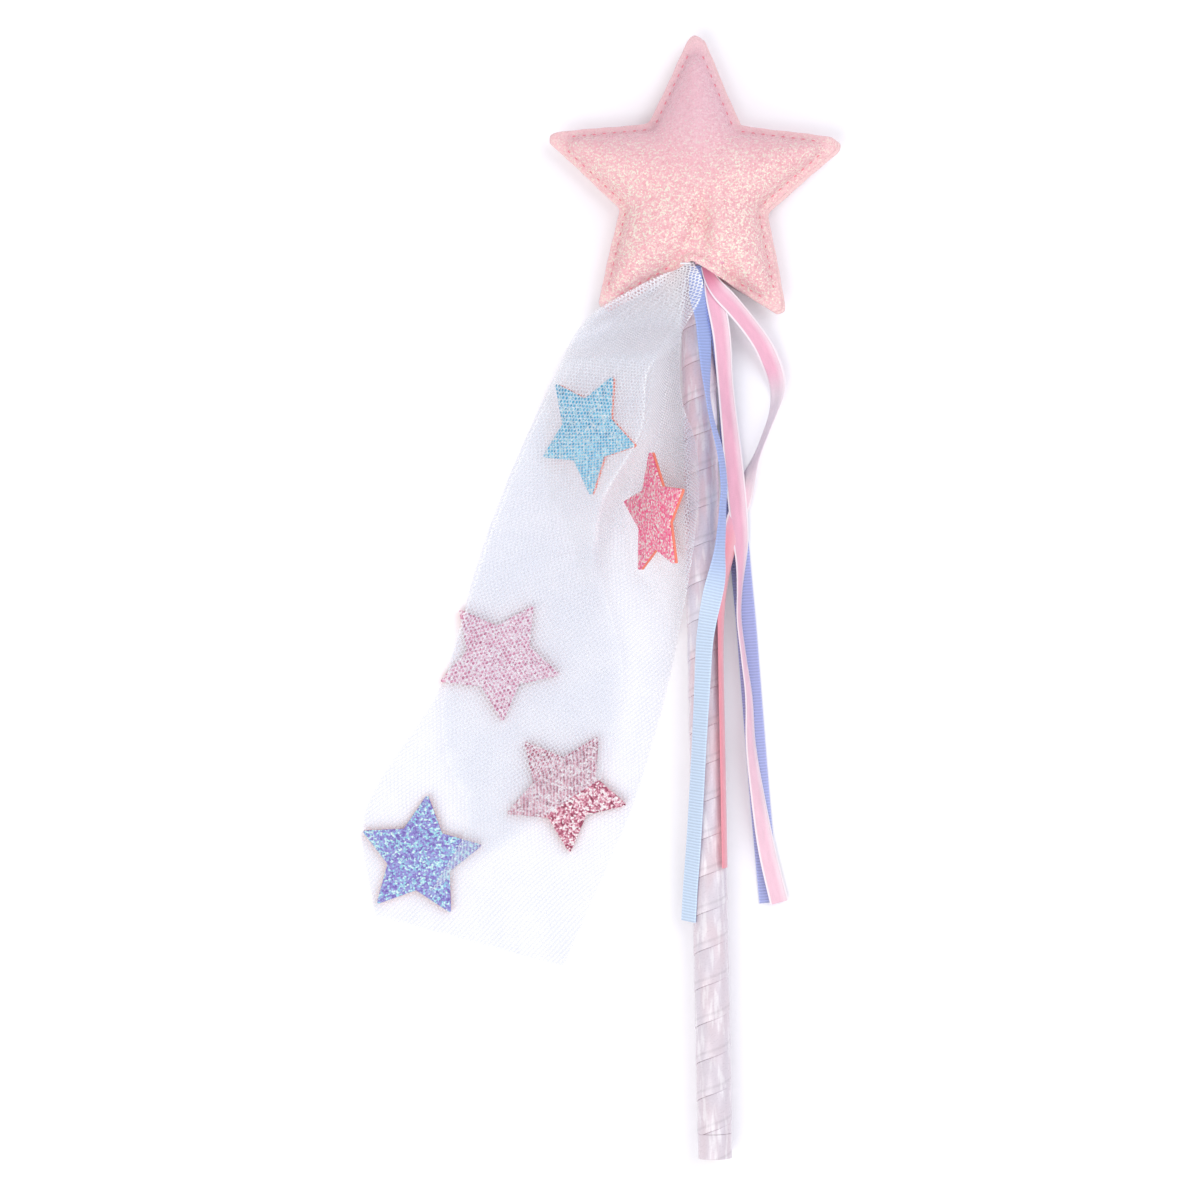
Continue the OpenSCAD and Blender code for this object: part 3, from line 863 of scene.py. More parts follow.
@dataclass
class Studio:
    """Camera, pale floor and soft light."""

    frame_width: float = 384 * MM
    centre: Span = (-33.2 * MM, 179.3 * MM)
    roll: float = -0.02058
    lens: float = 135
    sensor: float = 36
    floor_z: float = -6.68 * MM
    floor_size: float = 8
    floor_tone: Colour = (0.90, 0.89, 0.92)
    floor_glow: float = 0.11
    sky_tone: Colour = (0.96, 0.97, 1.0)
    sky_power: float = 0.66
    lamps: tuple[Lamp, ...] = (
        Lamp("key", (-0.75, -1.0, 1.42), 16.5, (1.0, 0.985, 0.965)),
        Lamp("fill", (1.05, 0.65, 1.45), 13.6, (0.93, 0.94, 1.0)),
    )

    def build(self) -> None:
        """Sets up the camera straight above, the floor, the lamps and the world."""
        scene = bpy.context.scene
        scene.view_settings.view_transform = "Standard"
        camera = bpy.data.objects.new("camera", bpy.data.cameras.new("camera"))
        scene.collection.objects.link(camera)
        camera.data.lens = self.lens
        camera.data.sensor_width = self.sensor
        camera.location = (*self.centre, self.frame_width * self.lens / self.sensor)
        camera.rotation_euler = (0, 0, self.roll)
        scene.camera = camera
        self._floor()
        for lamp in self.lamps:
            lamp.build(Vector((*self.centre, 0)))
        self._world()

    def _floor(self) -> None:
        """Pale floor that shows white round the object's shadow."""
        deselect()
        bpy.ops.mesh.primitive_plane_add(size=self.floor_size, location=(*self.centre, self.floor_z))
        floor = bpy.context.object
        floor.name = "floor"
        bpy.ops.object.transform_apply()
        shader = Shader("pale_floor")
        material = shader.dress(Base_Color=self.floor_tone, Roughness=0.9, Specular_IOR_Level=0.1)
        path = shader.node("ShaderNodeLightPath").outputs
        camera, gloss, through = (
            Value(shader, path[ray]) for ray in ("Is Camera Ray", "Is Glossy Ray", "Is Transmission Ray")
        )
        glow_and_painted_shade = shader.node("ShaderNodeEmission", None, {"Color": (1, 1, 1, 1), "Strength": self.floor_glow})
        both = shader.node("ShaderNodeAddShader")
        choice = shader.node("ShaderNodeMixShader", None, {0: camera + gloss + through})
        plain = shader.surface.outputs[0]
        for start, end in (
            (plain, both.inputs[0]),
            (glow_and_painted_shade.outputs[0], both.inputs[1]),
            (plain, choice.inputs[1]),
            (both.outputs[0], choice.inputs[2]),
            (choice.outputs[0], shader.output.inputs[0]),
        ):
            shader.tree.links.new(start, end)
        coat(floor, material)

    def _world(self) -> None:
        """Even pale light from all round, white to the camera."""
        world = bpy.data.worlds.new("world")
        bpy.context.scene.world = world
        world.use_nodes = True
        nodes, links = world.node_tree.nodes, world.node_tree.links
        path = nodes.new("ShaderNodeLightPath")
        choice = nodes.new("ShaderNodeMixShader")
        soft, white = nodes["Background"], nodes.new("ShaderNodeBackground")
        for light, tone, power in ((soft, self.sky_tone, self.sky_power), (white, (1, 1, 1), 1)):
            light.inputs["Color"].default_value = (*tone, 1)
            light.inputs["Strength"].default_value = power
        links.new(path.outputs["Is Camera Ray"], choice.inputs[0])
        links.new(soft.outputs[0], choice.inputs[1])
        links.new(white.outputs[0], choice.inputs[2])
        links.new(choice.outputs[0], nodes["World Output"].inputs[0])


@dataclass
class Ribbon:
    """A flat ribbon tail that follows its route: x, y, z in mm and roll in degrees, tie to cut end."""

    name: str
    node: str
    body: Body
    slot: str
    width: float
    route: Route
    finish: Finish
    thick: float = 0.45 * MM
    steps: int = 6
    sides: int = 16
    pinch: float = 0.6
    pinch_run: float = 13 * MM

    def build(self) -> None:
        path = curve_through(self.route, self.steps)
        here, roll = path[:, :3] * MM, np.radians(path[:, 3])
        way = np.gradient(here, axis=0)
        way /= np.linalg.norm(way, axis=1)[:, None]
        side = np.cross(way, (0, 0, 1.0))
        side /= np.linalg.norm(side, axis=1)[:, None]
        up = np.cross(side, way)
        across = side * np.cos(roll)[:, None] + up * np.sin(roll)[:, None]
        out = up * np.cos(roll)[:, None] - side * np.sin(roll)[:, None]
        a = (np.arange(self.sides) + 0.5) * 2 * math.pi / self.sides
        flat = self.width / 2 * np.sign(np.cos(a)) * np.abs(np.cos(a)) ** 0.45
        lift = self.thick / 2 * np.sign(np.sin(a)) * np.abs(np.sin(a)) ** 0.6
        run = run_along(here)
        wide = self.pinch + (1 - self.pinch) * smooth(run / self.pinch_run)
        spread = wide[:, None, None] * flat[None, :, None]
        rows = here[:, None] + across[:, None] * spread + out[:, None] * lift[None, :, None]
        count, n = len(here), self.sides
        faces: list[tuple[int, ...]] = list(grid_faces(count, n, True))
        faces += [tuple(range(n))[::-1], tuple(range((count - 1) * n, count * n))]
        piece = from_points(self.name, rows.reshape(-1, 3), faces)
        put_map(piece, np.tile(flat, count), np.repeat(run, n))
        face_outward(piece)
        smooth_shade(piece, 60)
        coat(piece, self.finish.make())
        hand_over(piece, self.body, self.slot, self.node, bends=True)


SKY_ROUTE: Route = (
    (-0.7, 285, 7.5, 14), (-0.4, 277, 7.6, 26), (0.9, 269, 7.9, 48), (1.7, 261.5, 8.0, 47),
    (2.0, 251, 8.3, 63), (2.4, 244, 8.6, 76), (3.5, 236.3, 8.8, 76), (6.0, 225.6, 9.0, 71),
    (7.0, 214.9, 8.8, 70), (6.6, 209.7, 8.7, 70), (6.0, 202, 8.5, 65), (5.1, 193.5, 8.1, 54),
    (4.0, 186, 7.7, 24), (2.4, 179, 7.5, -8), (0.9, 172, 7.6, -26), (-0.3, 164, 7.5, -35),
    (-1.3, 150, 7.1, -40), (-2.4, 135, 6.4, -45), (-3.6, 118, 5.2, -45), (-5.0, 100, 3.8, -45),
    (-6.2, 87, 2.4, -45), (-7.0, 76, 1.4, -45),
)
PERIWINKLE_ROUTE: Route = (
    (3.4, 285, 5.95, 0), (3.9, 279, 5.2, 20), (4.6, 273, 4.4, 40), (5.8, 262, 2.7, 58),
    (7.6, 249, -1.2, 52), (9.0, 236, -4.0, 32), (9.8, 224, -5.7, 8), (10.8, 210, -6.1, 0),
    (11.8, 196, -6.1, 0), (12.6, 184, -6.1, 0), (13.6, 170, -6.1, 0), (14.4, 156, -6.1, 0),
    (15.2, 142, -6.1, 0), (16.0, 128, -6.1, 0), (17.0, 112, -6.1, 0), (18.1, 96, -6.1, 0),
    (19.2, 81, -6.1, 0),
)
PINK_ROUTE: Route = (
    (3.5, 285, 6.5, 0), (4.4, 279, 6.3, 4), (5.9, 272, 5.9, 12), (7.4, 262, 5.2, 22),
    (8.2, 248, 2.8, 34), (9.4, 234, -0.6, 26), (10.7, 220, -3.3, 10), (11.5, 210, -4.2, 8),
    (12.2, 199, -4.0, 28), (12.2, 190, -3.1, 58), (11.6, 181, -2.7, 73), (11.3, 172, -2.6, 75),
    (12.5, 160, -2.6, 73), (13.9, 147, -2.7, 67), (14.2, 132, -2.8, 58), (16.0, 116, -3.5, 44),
    (18.7, 98, -4.4, 24), (22.4, 81, -5.0, 10),
)
LOOP_ROUTE: Route = (
    (2.8, 285, 7.1, 0), (3.9, 281.4, 7.05, 0), (6.4, 277.4, 6.6, 8), (11.0, 272.4, 4.6, 18),
    (16.6, 265.6, 1.3, 20), (20.6, 259.8, -1.4, 12), (23.2, 254.2, -3.0, -6), (24.8, 249, -3.6, -24),
    (25.0, 244, -3.6, -48), (23.5, 238, -3.3, -68), (20.8, 231, -3.2, -74), (17.9, 224, -3.3, -71),
    (15.2, 217, -4.2, -44), (12.6, 209, -5.2, 0), (10.0, 202, -3.4, 26), (8.1, 195, -0.2, 38),
    (6.5, 187, 1.9, 52), (5.5, 178, 3.2, 64), (5.05, 165, 3.9, 73), (4.95, 150, 4.0, 74),
    (4.95, 135, 4.0, 74), (4.92, 120, 4.0, 74), (4.9, 106, 4.0, 74), (4.88, 93, 4.0, 74),
)


@dataclass
class RibbonTails:
    """The four ribbon tails tied in at the star's notch."""

    grosgrain: float = 6.4 * MM
    velvet: float = 6.2 * MM
    pink: Colour = (0.87, 0.46, 0.59)
    pale_edge: Colour = (0.94, 0.83, 0.87)

    def build(self) -> None:
        """Makes each tail in turn."""
        wide, narrow = self.grosgrain, self.velvet
        # The head and tail colours of the blue tails carry painted shade by the tie and painted light down
        # their runs.
        sky = Grosgrain("sky_grosgrain", (0.36, 0.46, 0.84), (0.64, 0.78, 0.97), (0.078, 0.112), wide)
        peri = Grosgrain("periwinkle_grosgrain", (0.33, 0.40, 0.80), (0.42, 0.46, 0.80), (0.05, 0.12), wide)
        velvet = Velvet("pink_velvet", self.pink, self.pale_edge, narrow, light=0.32)
        loop = Velvet(
            "loop_velvet",
            self.pink,
            self.pale_edge,
            narrow,
            painted_shade_at=(0.088, 0.104),
            light=0.95,
            light_from=(0.040, 0.052),
            light_to=(0.076, 0.088),
        )
        tails = (
            ("sky", Body.SKY, "sky_grosgrain", wide, SKY_ROUTE, sky),
            ("periwinkle", Body.BUNCH, "periwinkle_grosgrain", wide, PERIWINKLE_ROUTE, peri),
            ("pink", Body.BUNCH, "pink_velvet", narrow, PINK_ROUTE, velvet),
            ("loop", Body.BUNCH, "pink_velvet", narrow, LOOP_ROUTE, loop),
        )
        for colour, *rest in tails:
            Ribbon(f"{colour}_tail_ribbon", f"{colour}_ribbon", *rest).build()


@dataclass
class StarCushion:
    """The padded glitter star: two puffed panels sewn on a flat flange, at the stick's end; lengths in mm."""

    tip: float = 48.5
    notch: float = 24.5
    rounding: float = 2.4
    turn: float = 87.8
    centre: Span = (-0.8, 311)
    crown: float = 13
    back: float = 6.66
    panel: float = 0.8
    flange: float = 2.7
    per_side: int = 16
    rings: int = 16
    overlap: Span = (1.0, -0.7)
    pentagon: float = 0.55
    ragged: float = 0.004
    seam_rise: float = 1.0
    seam_ease: Span = (8, 2)
    ease_steps: int = 9
    rim_steps: Table = ((-1, 0.0), (0, 0.15), (3, 0.7), (4, 1.0))
    turned_in: float = 0.28
    mouth: float = 8.7
    mouth_x: float = 2.2
    mouth_y: float = 286.5
    mouth_under: float = 5.9
    arch: Span = (4.8, 6.5)
    arch_y: Span = (4, 14)
    lip: float = 5.5
    neck: float = 8.9
    neck_y: float = 297
    neck_run: float = 6
    pleat: float = 4.2
    pleat_w: float = 2.6
    pleat_y: float = 289
    pleat_lean: float = 0.12
    pleat_span: Swell = (286, 6, 297, 15)
    ridge: float = 1.1
    ridge_x: float = 5.5
    ridge_w: float = 3.4
    ridge_span: Swell = (288, 6, 298, 14)
    stitch: float = 0.31
    stitch_shape: tuple[float, float, float] = (2.0, 1.0, 0.7)
    stitch_in: float = 2.1
    stitch_pitch: float = 3.2
    stitch_gap: float = 9.6
    sim_frames: int = 20
    sim_pressure: float = 4.0
    sim_cap: float = 3.0
    sim_quality: int = 6
    sim_stiffness: float = 1.5
    alpha: float = field(init=False)

    def __post_init__(self) -> None:
        """Works out the half angle of a tip."""
        aside, along = self.notch * math.sin(math.pi / 5), self.notch * math.cos(math.pi / 5)
        self.alpha = math.atan2(aside, self.tip - along)

    def _spin(self, ring: np.ndarray) -> np.ndarray:
        """A ring turned and set at the star's centre."""
        a = math.radians(self.turn)
        return ring @ np.array([[math.cos(a), math.sin(a)], [-math.sin(a), math.cos(a)]]) + self.centre

    def _ring(self, share: float) -> np.ndarray:
        """Ring inside the stitch line, rounding off to a pentagon towards the middle.

        Args:
            share: size of the ring, from 0 at the middle to 1 at the stitch line.

        Returns:
            The points as rows of x and y.
        """
        tip = (self.tip - self.flange / math.sin(self.alpha)) * share
        notch = (self.notch - self.flange / math.sin(self.alpha + math.pi / 5)) * share
        notch *= 1 + self.pentagon * (1 - share)
        return self._spin(star_ring(tip, notch, self.rounding * max(share, 0.05), self.per_side))

    def _edge(self) -> np.ndarray:
        """Raw edge of the star, a little uneven as scissors leave it.

        Returns:
            The points as rows of x and y.
        """
        ring = star_ring(self.tip, self.notch, self.rounding, self.per_side)
        k = np.arange(len(ring))
        ring = ring * (1 + self.ragged * (np.sin(k * 1.7) + np.sin(k * 0.53 + 1)))[:, None]
        return self._spin(ring)

    def _arch(self, x: np.ndarray, y: np.ndarray) -> np.ndarray:
        """Lift of the cloth over the stick at the star's mouth, as a share."""
        over = 1 - smooth((np.abs(x - self.mouth_x) - self.arch[0]) / self.arch[1])
        return over * (1 - smooth((y - self.mouth_y - self.arch_y[0]) / self.arch_y[1]))

    def build(self) -> None:
        """Makes the closed cushion, puffs it by simulation, shapes mouth and pleat, and dresses it."""
        rows, pinned = self._layers()
        n = len(rows[0])
        points = [(*self.centre, self.crown), *np.vstack(rows), (*self.centre, -self.back)]
        last = len(points) - 1
        faces = [(0, 1 + j, 1 + (j + 1) % n) for j in range(n)]
        faces += grid_faces(len(rows), n, True, first=1)
        end = 1 + (len(rows) - 1) * n
        faces += [(last, end + (j + 1) % n, end + j) for j in range(n)]
        piece = from_points("star_cushion", np.array(points) * MM, faces)
        self._puff(piece, [1 + k * n + j for k in pinned for j in range(n)])
        self._shape(piece, pinned, n)
        self._soften(piece, pinned, n)
        smooth_shade(piece)
        coat(piece, self._finish().make())
        hand_over(piece, Body.WAND, "star_glitter", "star_front_panel", "star_back_panel", "star_filling")
        self._stitches("star_front_stitching", piece, 1, "front_stitches")
        self._stitches("star_back_stitching", piece, -1, "back_stitches")

    @staticmethod
    def _finish() -> Glitter:
        """Pink cloth under fine flakes, with painted shade that turns the star's upper part lilac and duller,
        so that it looks creamier towards the wand's tie.
        """
        stops = (
            (0.0, (0.90, 0.40, 0.44)),
            (0.3, (0.93, 0.48, 0.52)),
            (0.52, (0.95, 0.56, 0.59)),
            (0.66, (0.98, 0.70, 0.66)),
            (0.80, (1.0, 0.92, 0.76)),
            (1.0, (1.0, 0.98, 0.88)),
        )
        return Glitter("pink_star_glitter", stops, flake=0.47 * MM, painted_shade_y=(0.305, 0.335), painted_shade=0.22)

    def _layers(self) -> tuple[list[np.ndarray], list[int]]:
        """All rings from the front pole to the back pole.

        Returns:
            The rings as rows of x, y and z, and the numbers of those held by the seam.
        """
        rows: list[np.ndarray] = []
        angles = np.linspace(0, math.pi / 2, self.rings + 1)[1:]
        for a in angles:
            ring = self._ring(math.sin(a))
            foot = self.panel + self.seam_rise
            height = foot + (self.crown - foot) * math.cos(a)
            rows.append(np.column_stack([ring, np.full(len(ring), height)]))
        seam, edge = self._ring(1.0), self._edge()
        start = len(rows) - 1
        for share in (0.35, 0.7, 1.0):
            height = self.panel + self.seam_rise * (1 - share) ** 1.5
            rows.append(np.column_stack([seam + (edge - seam) * share, np.full(len(seam), height)]))
        inner = edge + (seam - edge) * self.turned_in
        under = edge + self.overlap
        for ring, z in ((edge, 0.12), (inner, 0.0), (under, -0.12), (under, -self.panel)):
            rows.append(np.column_stack([ring, np.full(len(ring), z)]))
        for share in (0.7, 0.35):
            rows.append(np.column_stack([seam + (under - seam) * share, np.full(len(seam), -self.panel)]))
        finish = len(rows)
        for a in angles[::-1]:
            ring = self._ring(math.sin(a))
            height = self.panel + (self.back - self.panel) * min(1.0, 1.35 * math.cos(a) ** 0.8)
            rows.append(np.column_stack([ring, np.full(len(ring), -height)]))
        return rows, list(range(start, finish + 1))

    def _puff(self, piece: bpy.types.Object, held: list[int]) -> None:
        """Swells the free cloth by air pressure, and caps how far it moves.

        Args:
            piece: the cushion.
            held: numbers of the flange's points, which stay.
        """
        rest = points_of(piece)
        group = piece.vertex_groups.new(name="held")
        group.add(held, 1.0, "REPLACE")
        cloth = piece.modifiers.new("puff", "CLOTH")
        settings = cloth.settings
        settings.quality = self.sim_quality
        settings.use_pressure = True
        settings.uniform_pressure_force = self.sim_pressure
        settings.vertex_group_mass = "held"
        settings.effector_weights.gravity = 0
        settings.bending_stiffness = self.sim_stiffness
        cloth.collision_settings.use_collision = False
        cloth.point_cache.frame_start = 1
        cloth.point_cache.frame_end = self.sim_frames
        for frame in range(1, self.sim_frames + 1):
            bpy.context.scene.frame_set(frame)
        apply_modifiers(piece)
        moved = points_of(piece) - rest
        far = np.linalg.norm(moved, axis=1)[:, None]
        cap = self.sim_cap * MM
        set_points(piece, rest + moved * np.minimum(1, cap / np.maximum(far, 1e-9)))
        bpy.context.scene.frame_set(1)
        piece.vertex_groups.clear()

    def _shape(self, piece: bpy.types.Object, held: list[int], n: int) -> None:
        """Lifts the mouth over the stick, draws the pleat above it and flattens the underside.

        Args:
            piece: the cushion.
            held: numbers of the rings held by the seam.
            n: points in each ring.
        """
        p = points_of(piece) / MM
        x, y, z = p.T
        lift = self._arch(x, y)
        row = (np.arange(len(p)) - 1) // n
        groove = row == held[0] + 5
        front = row <= held[0] + 4
        free = row < held[0]
        under = ~front & ~groove
        rise = self.mouth * lift
        z = np.where(front, np.where(free, np.maximum(z, rise + 0.8), z + rise), z)
        crease = x - self.pleat_lean * (y - self.pleat_y)
        pleat = bell(crease, 0, self.pleat_w) * swell(y, *self.pleat_span)
        ridge = bell(crease, self.ridge_x, self.ridge_w) * swell(y, *self.ridge_span)
        z = np.where(free, z - self.pleat * pleat + self.ridge * ridge, z)
        neck = np.sqrt(np.maximum(0, self.neck**2 - x**2)) * (1 - smooth((y - self.neck_y) / self.neck_run))
        z = np.where(front, np.maximum(z, neck), z)
        below = np.minimum(z, -self.mouth_under * lift - 0.1)
        z = np.where(under, np.maximum(below, -self.back), z)
        z = np.where(groove, lift, z)
        y = np.where(groove, y + self.lip * lift, y)
        set_points(piece, np.column_stack([x, y, z]) * MM)

    def _soften(self, piece: bpy.types.Object, held: list[int], n: int) -> None:
        """Rounds the cloth into its seam, marks the pale raw rim and makes the mesh finer.

        Args:
            piece: the cushion.
            held: numbers of the rings held by the seam.
            n: points in each ring.
        """
        row = (np.arange(len(piece.data.vertices)) - 1) // n
        inside, outside = self.seam_ease
        near = np.flatnonzero((row >= held[0] - inside) & (row <= held[0] + outside))
        piece.vertex_groups.new(name="seam").add(near.tolist(), 1.0, "REPLACE")
        ease = piece.modifiers.new("ease", "SMOOTH")
        ease.vertex_group = "seam"
        ease.factor = 0.5
        ease.iterations = self.ease_steps
        x, y, _ = points_of(piece).T / MM
        rim = lookup(row - held[0], self.rim_steps) * (1 - 0.9 * self._arch(x, y))
        layer = piece.data.attributes.new("rim", "FLOAT", "POINT")
        layer.data.foreach_set("value", rim.astype(np.float32))
        fine = piece.modifiers.new("fine", "SUBSURF")
        fine.levels = fine.render_levels = 1
        apply_modifiers(piece)
        piece.vertex_groups.clear()

    def _stitches(self, name: str, cushion: bpy.types.Object, face: int, node: str) -> None:
        """One row of topstitches on a face of the flange: one stitch modelled, then copied round.

        Args:
            name: the piece's name.
            cushion: the cloth the stitches lie on.
            face: 1 for the front, -1 for the back.
            node: the solid they stand for.
        """
        cloth = BVHTree.FromPolygons(
            [v.co for v in cushion.data.vertices], [tuple(f.vertices) for f in cushion.data.polygons]
        )
        deselect()
        bpy.ops.mesh.primitive_uv_sphere_add(segments=8, ring_count=5, radius=self.stitch * MM)
        stitch = bpy.context.object
        bpy.ops.object.mode_set(mode="EDIT")
        bpy.ops.transform.resize(value=self.stitch_shape)
        bpy.ops.object.mode_set(mode="OBJECT")
        ring = star_ring(self.tip, self.notch, self.rounding, 1)
        copies = []
        for arm in range(5):
            a = math.radians(self.turn + 72 * arm)
            spin = np.array([[math.cos(a), -math.sin(a)], [math.sin(a), math.cos(a)]])
            for side in (1, -1):
                start, end = ring[0] * (1, side), ring[1] * (1, side)
                way = (end - start) / np.linalg.norm(end - start)
                inset = np.array([-way[1], way[0]]) * side * self.stitch_in
                run = np.linalg.norm(end - start) - self.stitch_in / math.tan(self.alpha)
                count = int(run / self.stitch_pitch)
                heading = Matrix.Rotation(a + math.atan2(way[1], way[0]), 4, "Z")
                for i in range(count):
                    x, y = spin @ (start + inset + way * run * (i + 0.5) / count) + self.centre
                    if abs(x - self.mouth_x) < self.stitch_gap and y < self.centre[1]:
                        continue
                    above = Vector((x * MM, y * MM, face * 0.05))
                    spot, facing, _, _ = cloth.ray_cast(above, Vector((0, 0, -face)))
                    lean = Vector((0, 0, face)).rotation_difference(facing).to_matrix().to_4x4()
                    copy = stitch.copy()
                    copy.data = stitch.data.copy()
                    bpy.context.scene.collection.objects.link(copy)
                    copy.data.transform(Matrix.Translation(spot) @ lean @ heading)
                    copies.append(copy)
        bpy.data.objects.remove(stitch)
        take(copies[0])
        for copy in copies:
            copy.select_set(True)
        bpy.ops.object.join()
        copies[0].name = name
        smooth_shade(copies[0])
        thread = Plain(name, (0.86, 0.22, 0.30), grain=0.15 * MM, rough=0.6, relief=0.02 * MM, sheen=0.2)
        coat(copies[0], thread.make())
        hand_over(copies[0], Body.WAND, "sewing_thread", node)


@dataclass
class TulleTrail:
    """The two layers of gathered net and the small stars between them; lengths in mm."""

    reach: float = 110
    length: float = 224
    head_y: float = 285.5
    head_z: float = 6.075
    table_z: float = -6.262
    fold_h: float = 28
    lower_left: Table = (
        (0.022, -0.004), (0.064, 0.0065), (0.10, 0.0112), (0.20, 0.0345), (0.268, 0.053), (0.314, 0.067),
        (0.364, 0.096), (0.405, 0.137), (0.45, 0.18), (0.565, 0.30), (0.66, 0.42), (0.77, 0.59), (1.0, 0.77),
        (0.98, 0.92),
    )
    lower_right: Table = (
        (0.021, -0.003), (0.032, 0.02), (0.036, 0.05), (0.042, 0.08), (0.051, 0.105), (0.058, 0.15),
        (0.05, 0.20), (0.018, 0.25), (0.008, 0.31), (0.025, 0.385), (0.09, 0.56), (0.21, 0.76), (0.43, 1.0),
    )
    upper_left: Table = (
        (0.022, -0.004), (0.063, 0.007), (0.099, 0.012), (0.198, 0.0355), (0.265, 0.0545), (0.31, 0.069),
        (0.36, 0.098), (0.40, 0.139), (0.445, 0.183), (0.555, 0.30), (0.65, 0.42), (0.755, 0.585),
        (0.76, 0.69), (0.70, 0.785), (0.81, 0.885),
    )
    upper_right: Table = (
        (0.012, -0.003), (-0.004, 0.012), (-0.015, 0.031), (0.001, 0.0576), (0.0245, 0.076), (0.045, 0.093),
        (0.066, 0.114), (0.15, 0.155), (0.175, 0.24), (0.285, 0.335), (0.3, 0.43), (0.24, 0.58), (0.31, 0.73),
    )
    left_crest: Table = (
        (0, 0.03), (0.09, 0.06), (0.13, 0.13), (0.25, 0.165), (0.29, 0.235), (0.33, 0.29), (0.36, 0.31),
        (0.43, 0.33),
    )
    left_rise: Table = (
        (0, 0.44), (0.09, 0.7), (0.13, 1.09), (0.25, 0.97), (0.29, 0.73), (0.33, 0.545), (0.36, 0.3),
        (0.43, 0.1), (0.47, 0),
    )
    left_slope: float = 41
    left_back: float = 6
    right_crest: float = 0.05
    right_rise: Table = (
        (0.099, 0), (0.1, 0.44), (0.16, 0.5), (0.23, 0.66), (0.285, 1.1), (0.357, 1.27), (0.42, 1.1),
        (0.48, 0.5), (0.54, 0.15), (0.585, 0),
    )
    right_slope: float = 63
    right_back: float = 9
    drape: Table = ((0, 1), (0.42, 1), (0.5, 0))
    drape_x: Span = (-13.5, 9)
    fold_gap: Table = ((0.08, 0), (0.13, 1), (0.34, 1), (0.42, 0))
    gap_at_tie: float = 1.6
    gap: float = 3.3
    gap_run: float = 0.095
    gap_in_folds: float = 1.8
    rim_start: Span = (-1.74, 286.5)
    rim_slope: float = 0.468
    rim_z: float = 3.0
    rim_near: Span = (6.5, 4.5)
    rim_span: Swell = (-38, 5, -9, 4)
    rim_gap: float = 0.6
    ribbon_lift: float = 3.2
    ribbon_x: Span = (0.6, 4.2)
    ribbon_span: Swell = (0, 0.012, 0.05, 0.045)
    rows: int = 160
    cols: int = 72
    pleats: int = 9
    pleat_span: Swell = (0, 0.06, 0.12, 0.35)
    soft_from: Span = (0.3, 0.3)
    lower_relief: Span = (0.315, 0.14)
    upper_relief: Span = (0.54, 0.35)
    lower_cloth: float = 88
    upper_cloth: float = 52
    hem: float = 0.7
    hem_cover: float = 0.9

    @staticmethod
    def _fold(x: np.ndarray, crest: np.ndarray, rise: np.ndarray, slope: float, back: float) -> np.ndarray:
        """Height of a fold: a straight slope up to its crest and a rounded back."""
        before = np.maximum(0, rise - (crest - x) * math.tan(math.radians(slope)))
        return np.where(x < crest, before, rise * (1 - smooth((x - crest) / back)))

    def _share(self, y: np.ndarray) -> np.ndarray:
        """Distance down the trail, as a share of its length."""
        return (self.head_y - y) / self.length

    def lower_z(self, x: np.ndarray, y: np.ndarray) -> np.ndarray:
        """Level of the lower layer.

        Args:
            x: where on the table, across.
            y: where on the table, along the stick.

        Returns:
            The cloth's heights.
        """
        share = self._share(y)
        crest = -self.reach * lookup(share, self.left_crest)
        rise = self.fold_h * lookup(share, self.left_rise)
        left = self._fold(x, crest, rise, self.left_slope, self.left_back)
        crest = -self.reach * self.right_crest
        rise = self.fold_h * lookup(share, self.right_rise)
        right = self._fold(x, crest, rise, self.right_slope, self.right_back)
        over = smooth((x - self.drape_x[0]) / self.drape_x[1]) * lookup(share, self.drape)
        stick = (self.head_z - self.table_z) * over
        return self.table_z + np.maximum(np.maximum(left, right), stick)

    def upper_z(self, x: np.ndarray, y: np.ndarray) -> np.ndarray:
        """Level of the upper layer, over the small stars.

        Args:
            x: where on the table, across.
            y: where on the table, along the stick.

        Returns:
            The cloth's heights.
        """
        share = self._share(y)
        flat = self.gap_at_tie + smooth(share / self.gap_run) * (self.gap - self.gap_at_tie)
        return self.lower_z(x, y) + flat + self.gap_in_folds * lookup(share, self.fold_gap)

    def _over_rim(self, x: np.ndarray, y: np.ndarray) -> np.ndarray:
        """Level at which the net lies over the big star's lower left rim.

        Args:
            x: where on the table, across.
            y: where on the table, along the stick.

        Returns:
            The cloth's least heights.
        """
        edge = self.rim_start[1] + (x - self.rim_start[0]) * self.rim_slope
        near = smooth((y - edge + self.rim_near[0]) / self.rim_near[1]) * swell(x, *self.rim_span)
        return self.table_z + (self.rim_z - self.table_z) * near

    def _over_ribbon(self, x: np.ndarray, share: np.ndarray) -> np.ndarray:
        """Lift of the upper net where it covers the head of the blue tail."""
        return self.ribbon_lift * bell(x, *self.ribbon_x) * swell(share, *self.ribbon_span)

    def build(self) -> None:
        """Makes both layers, then the stars."""
        net = Net("tulle_net").make()
        left, right = self.lower_left, self.lower_right
        lower = self._sheet("tulle_net_lower", left, right, False, self.lower_cloth, net)
        left, right = self.upper_left, self.upper_right
        upper = self._sheet("tulle_net_upper", left, right, True, self.upper_cloth, net)
        for star in SMALL_STARS:
            star.build(self)

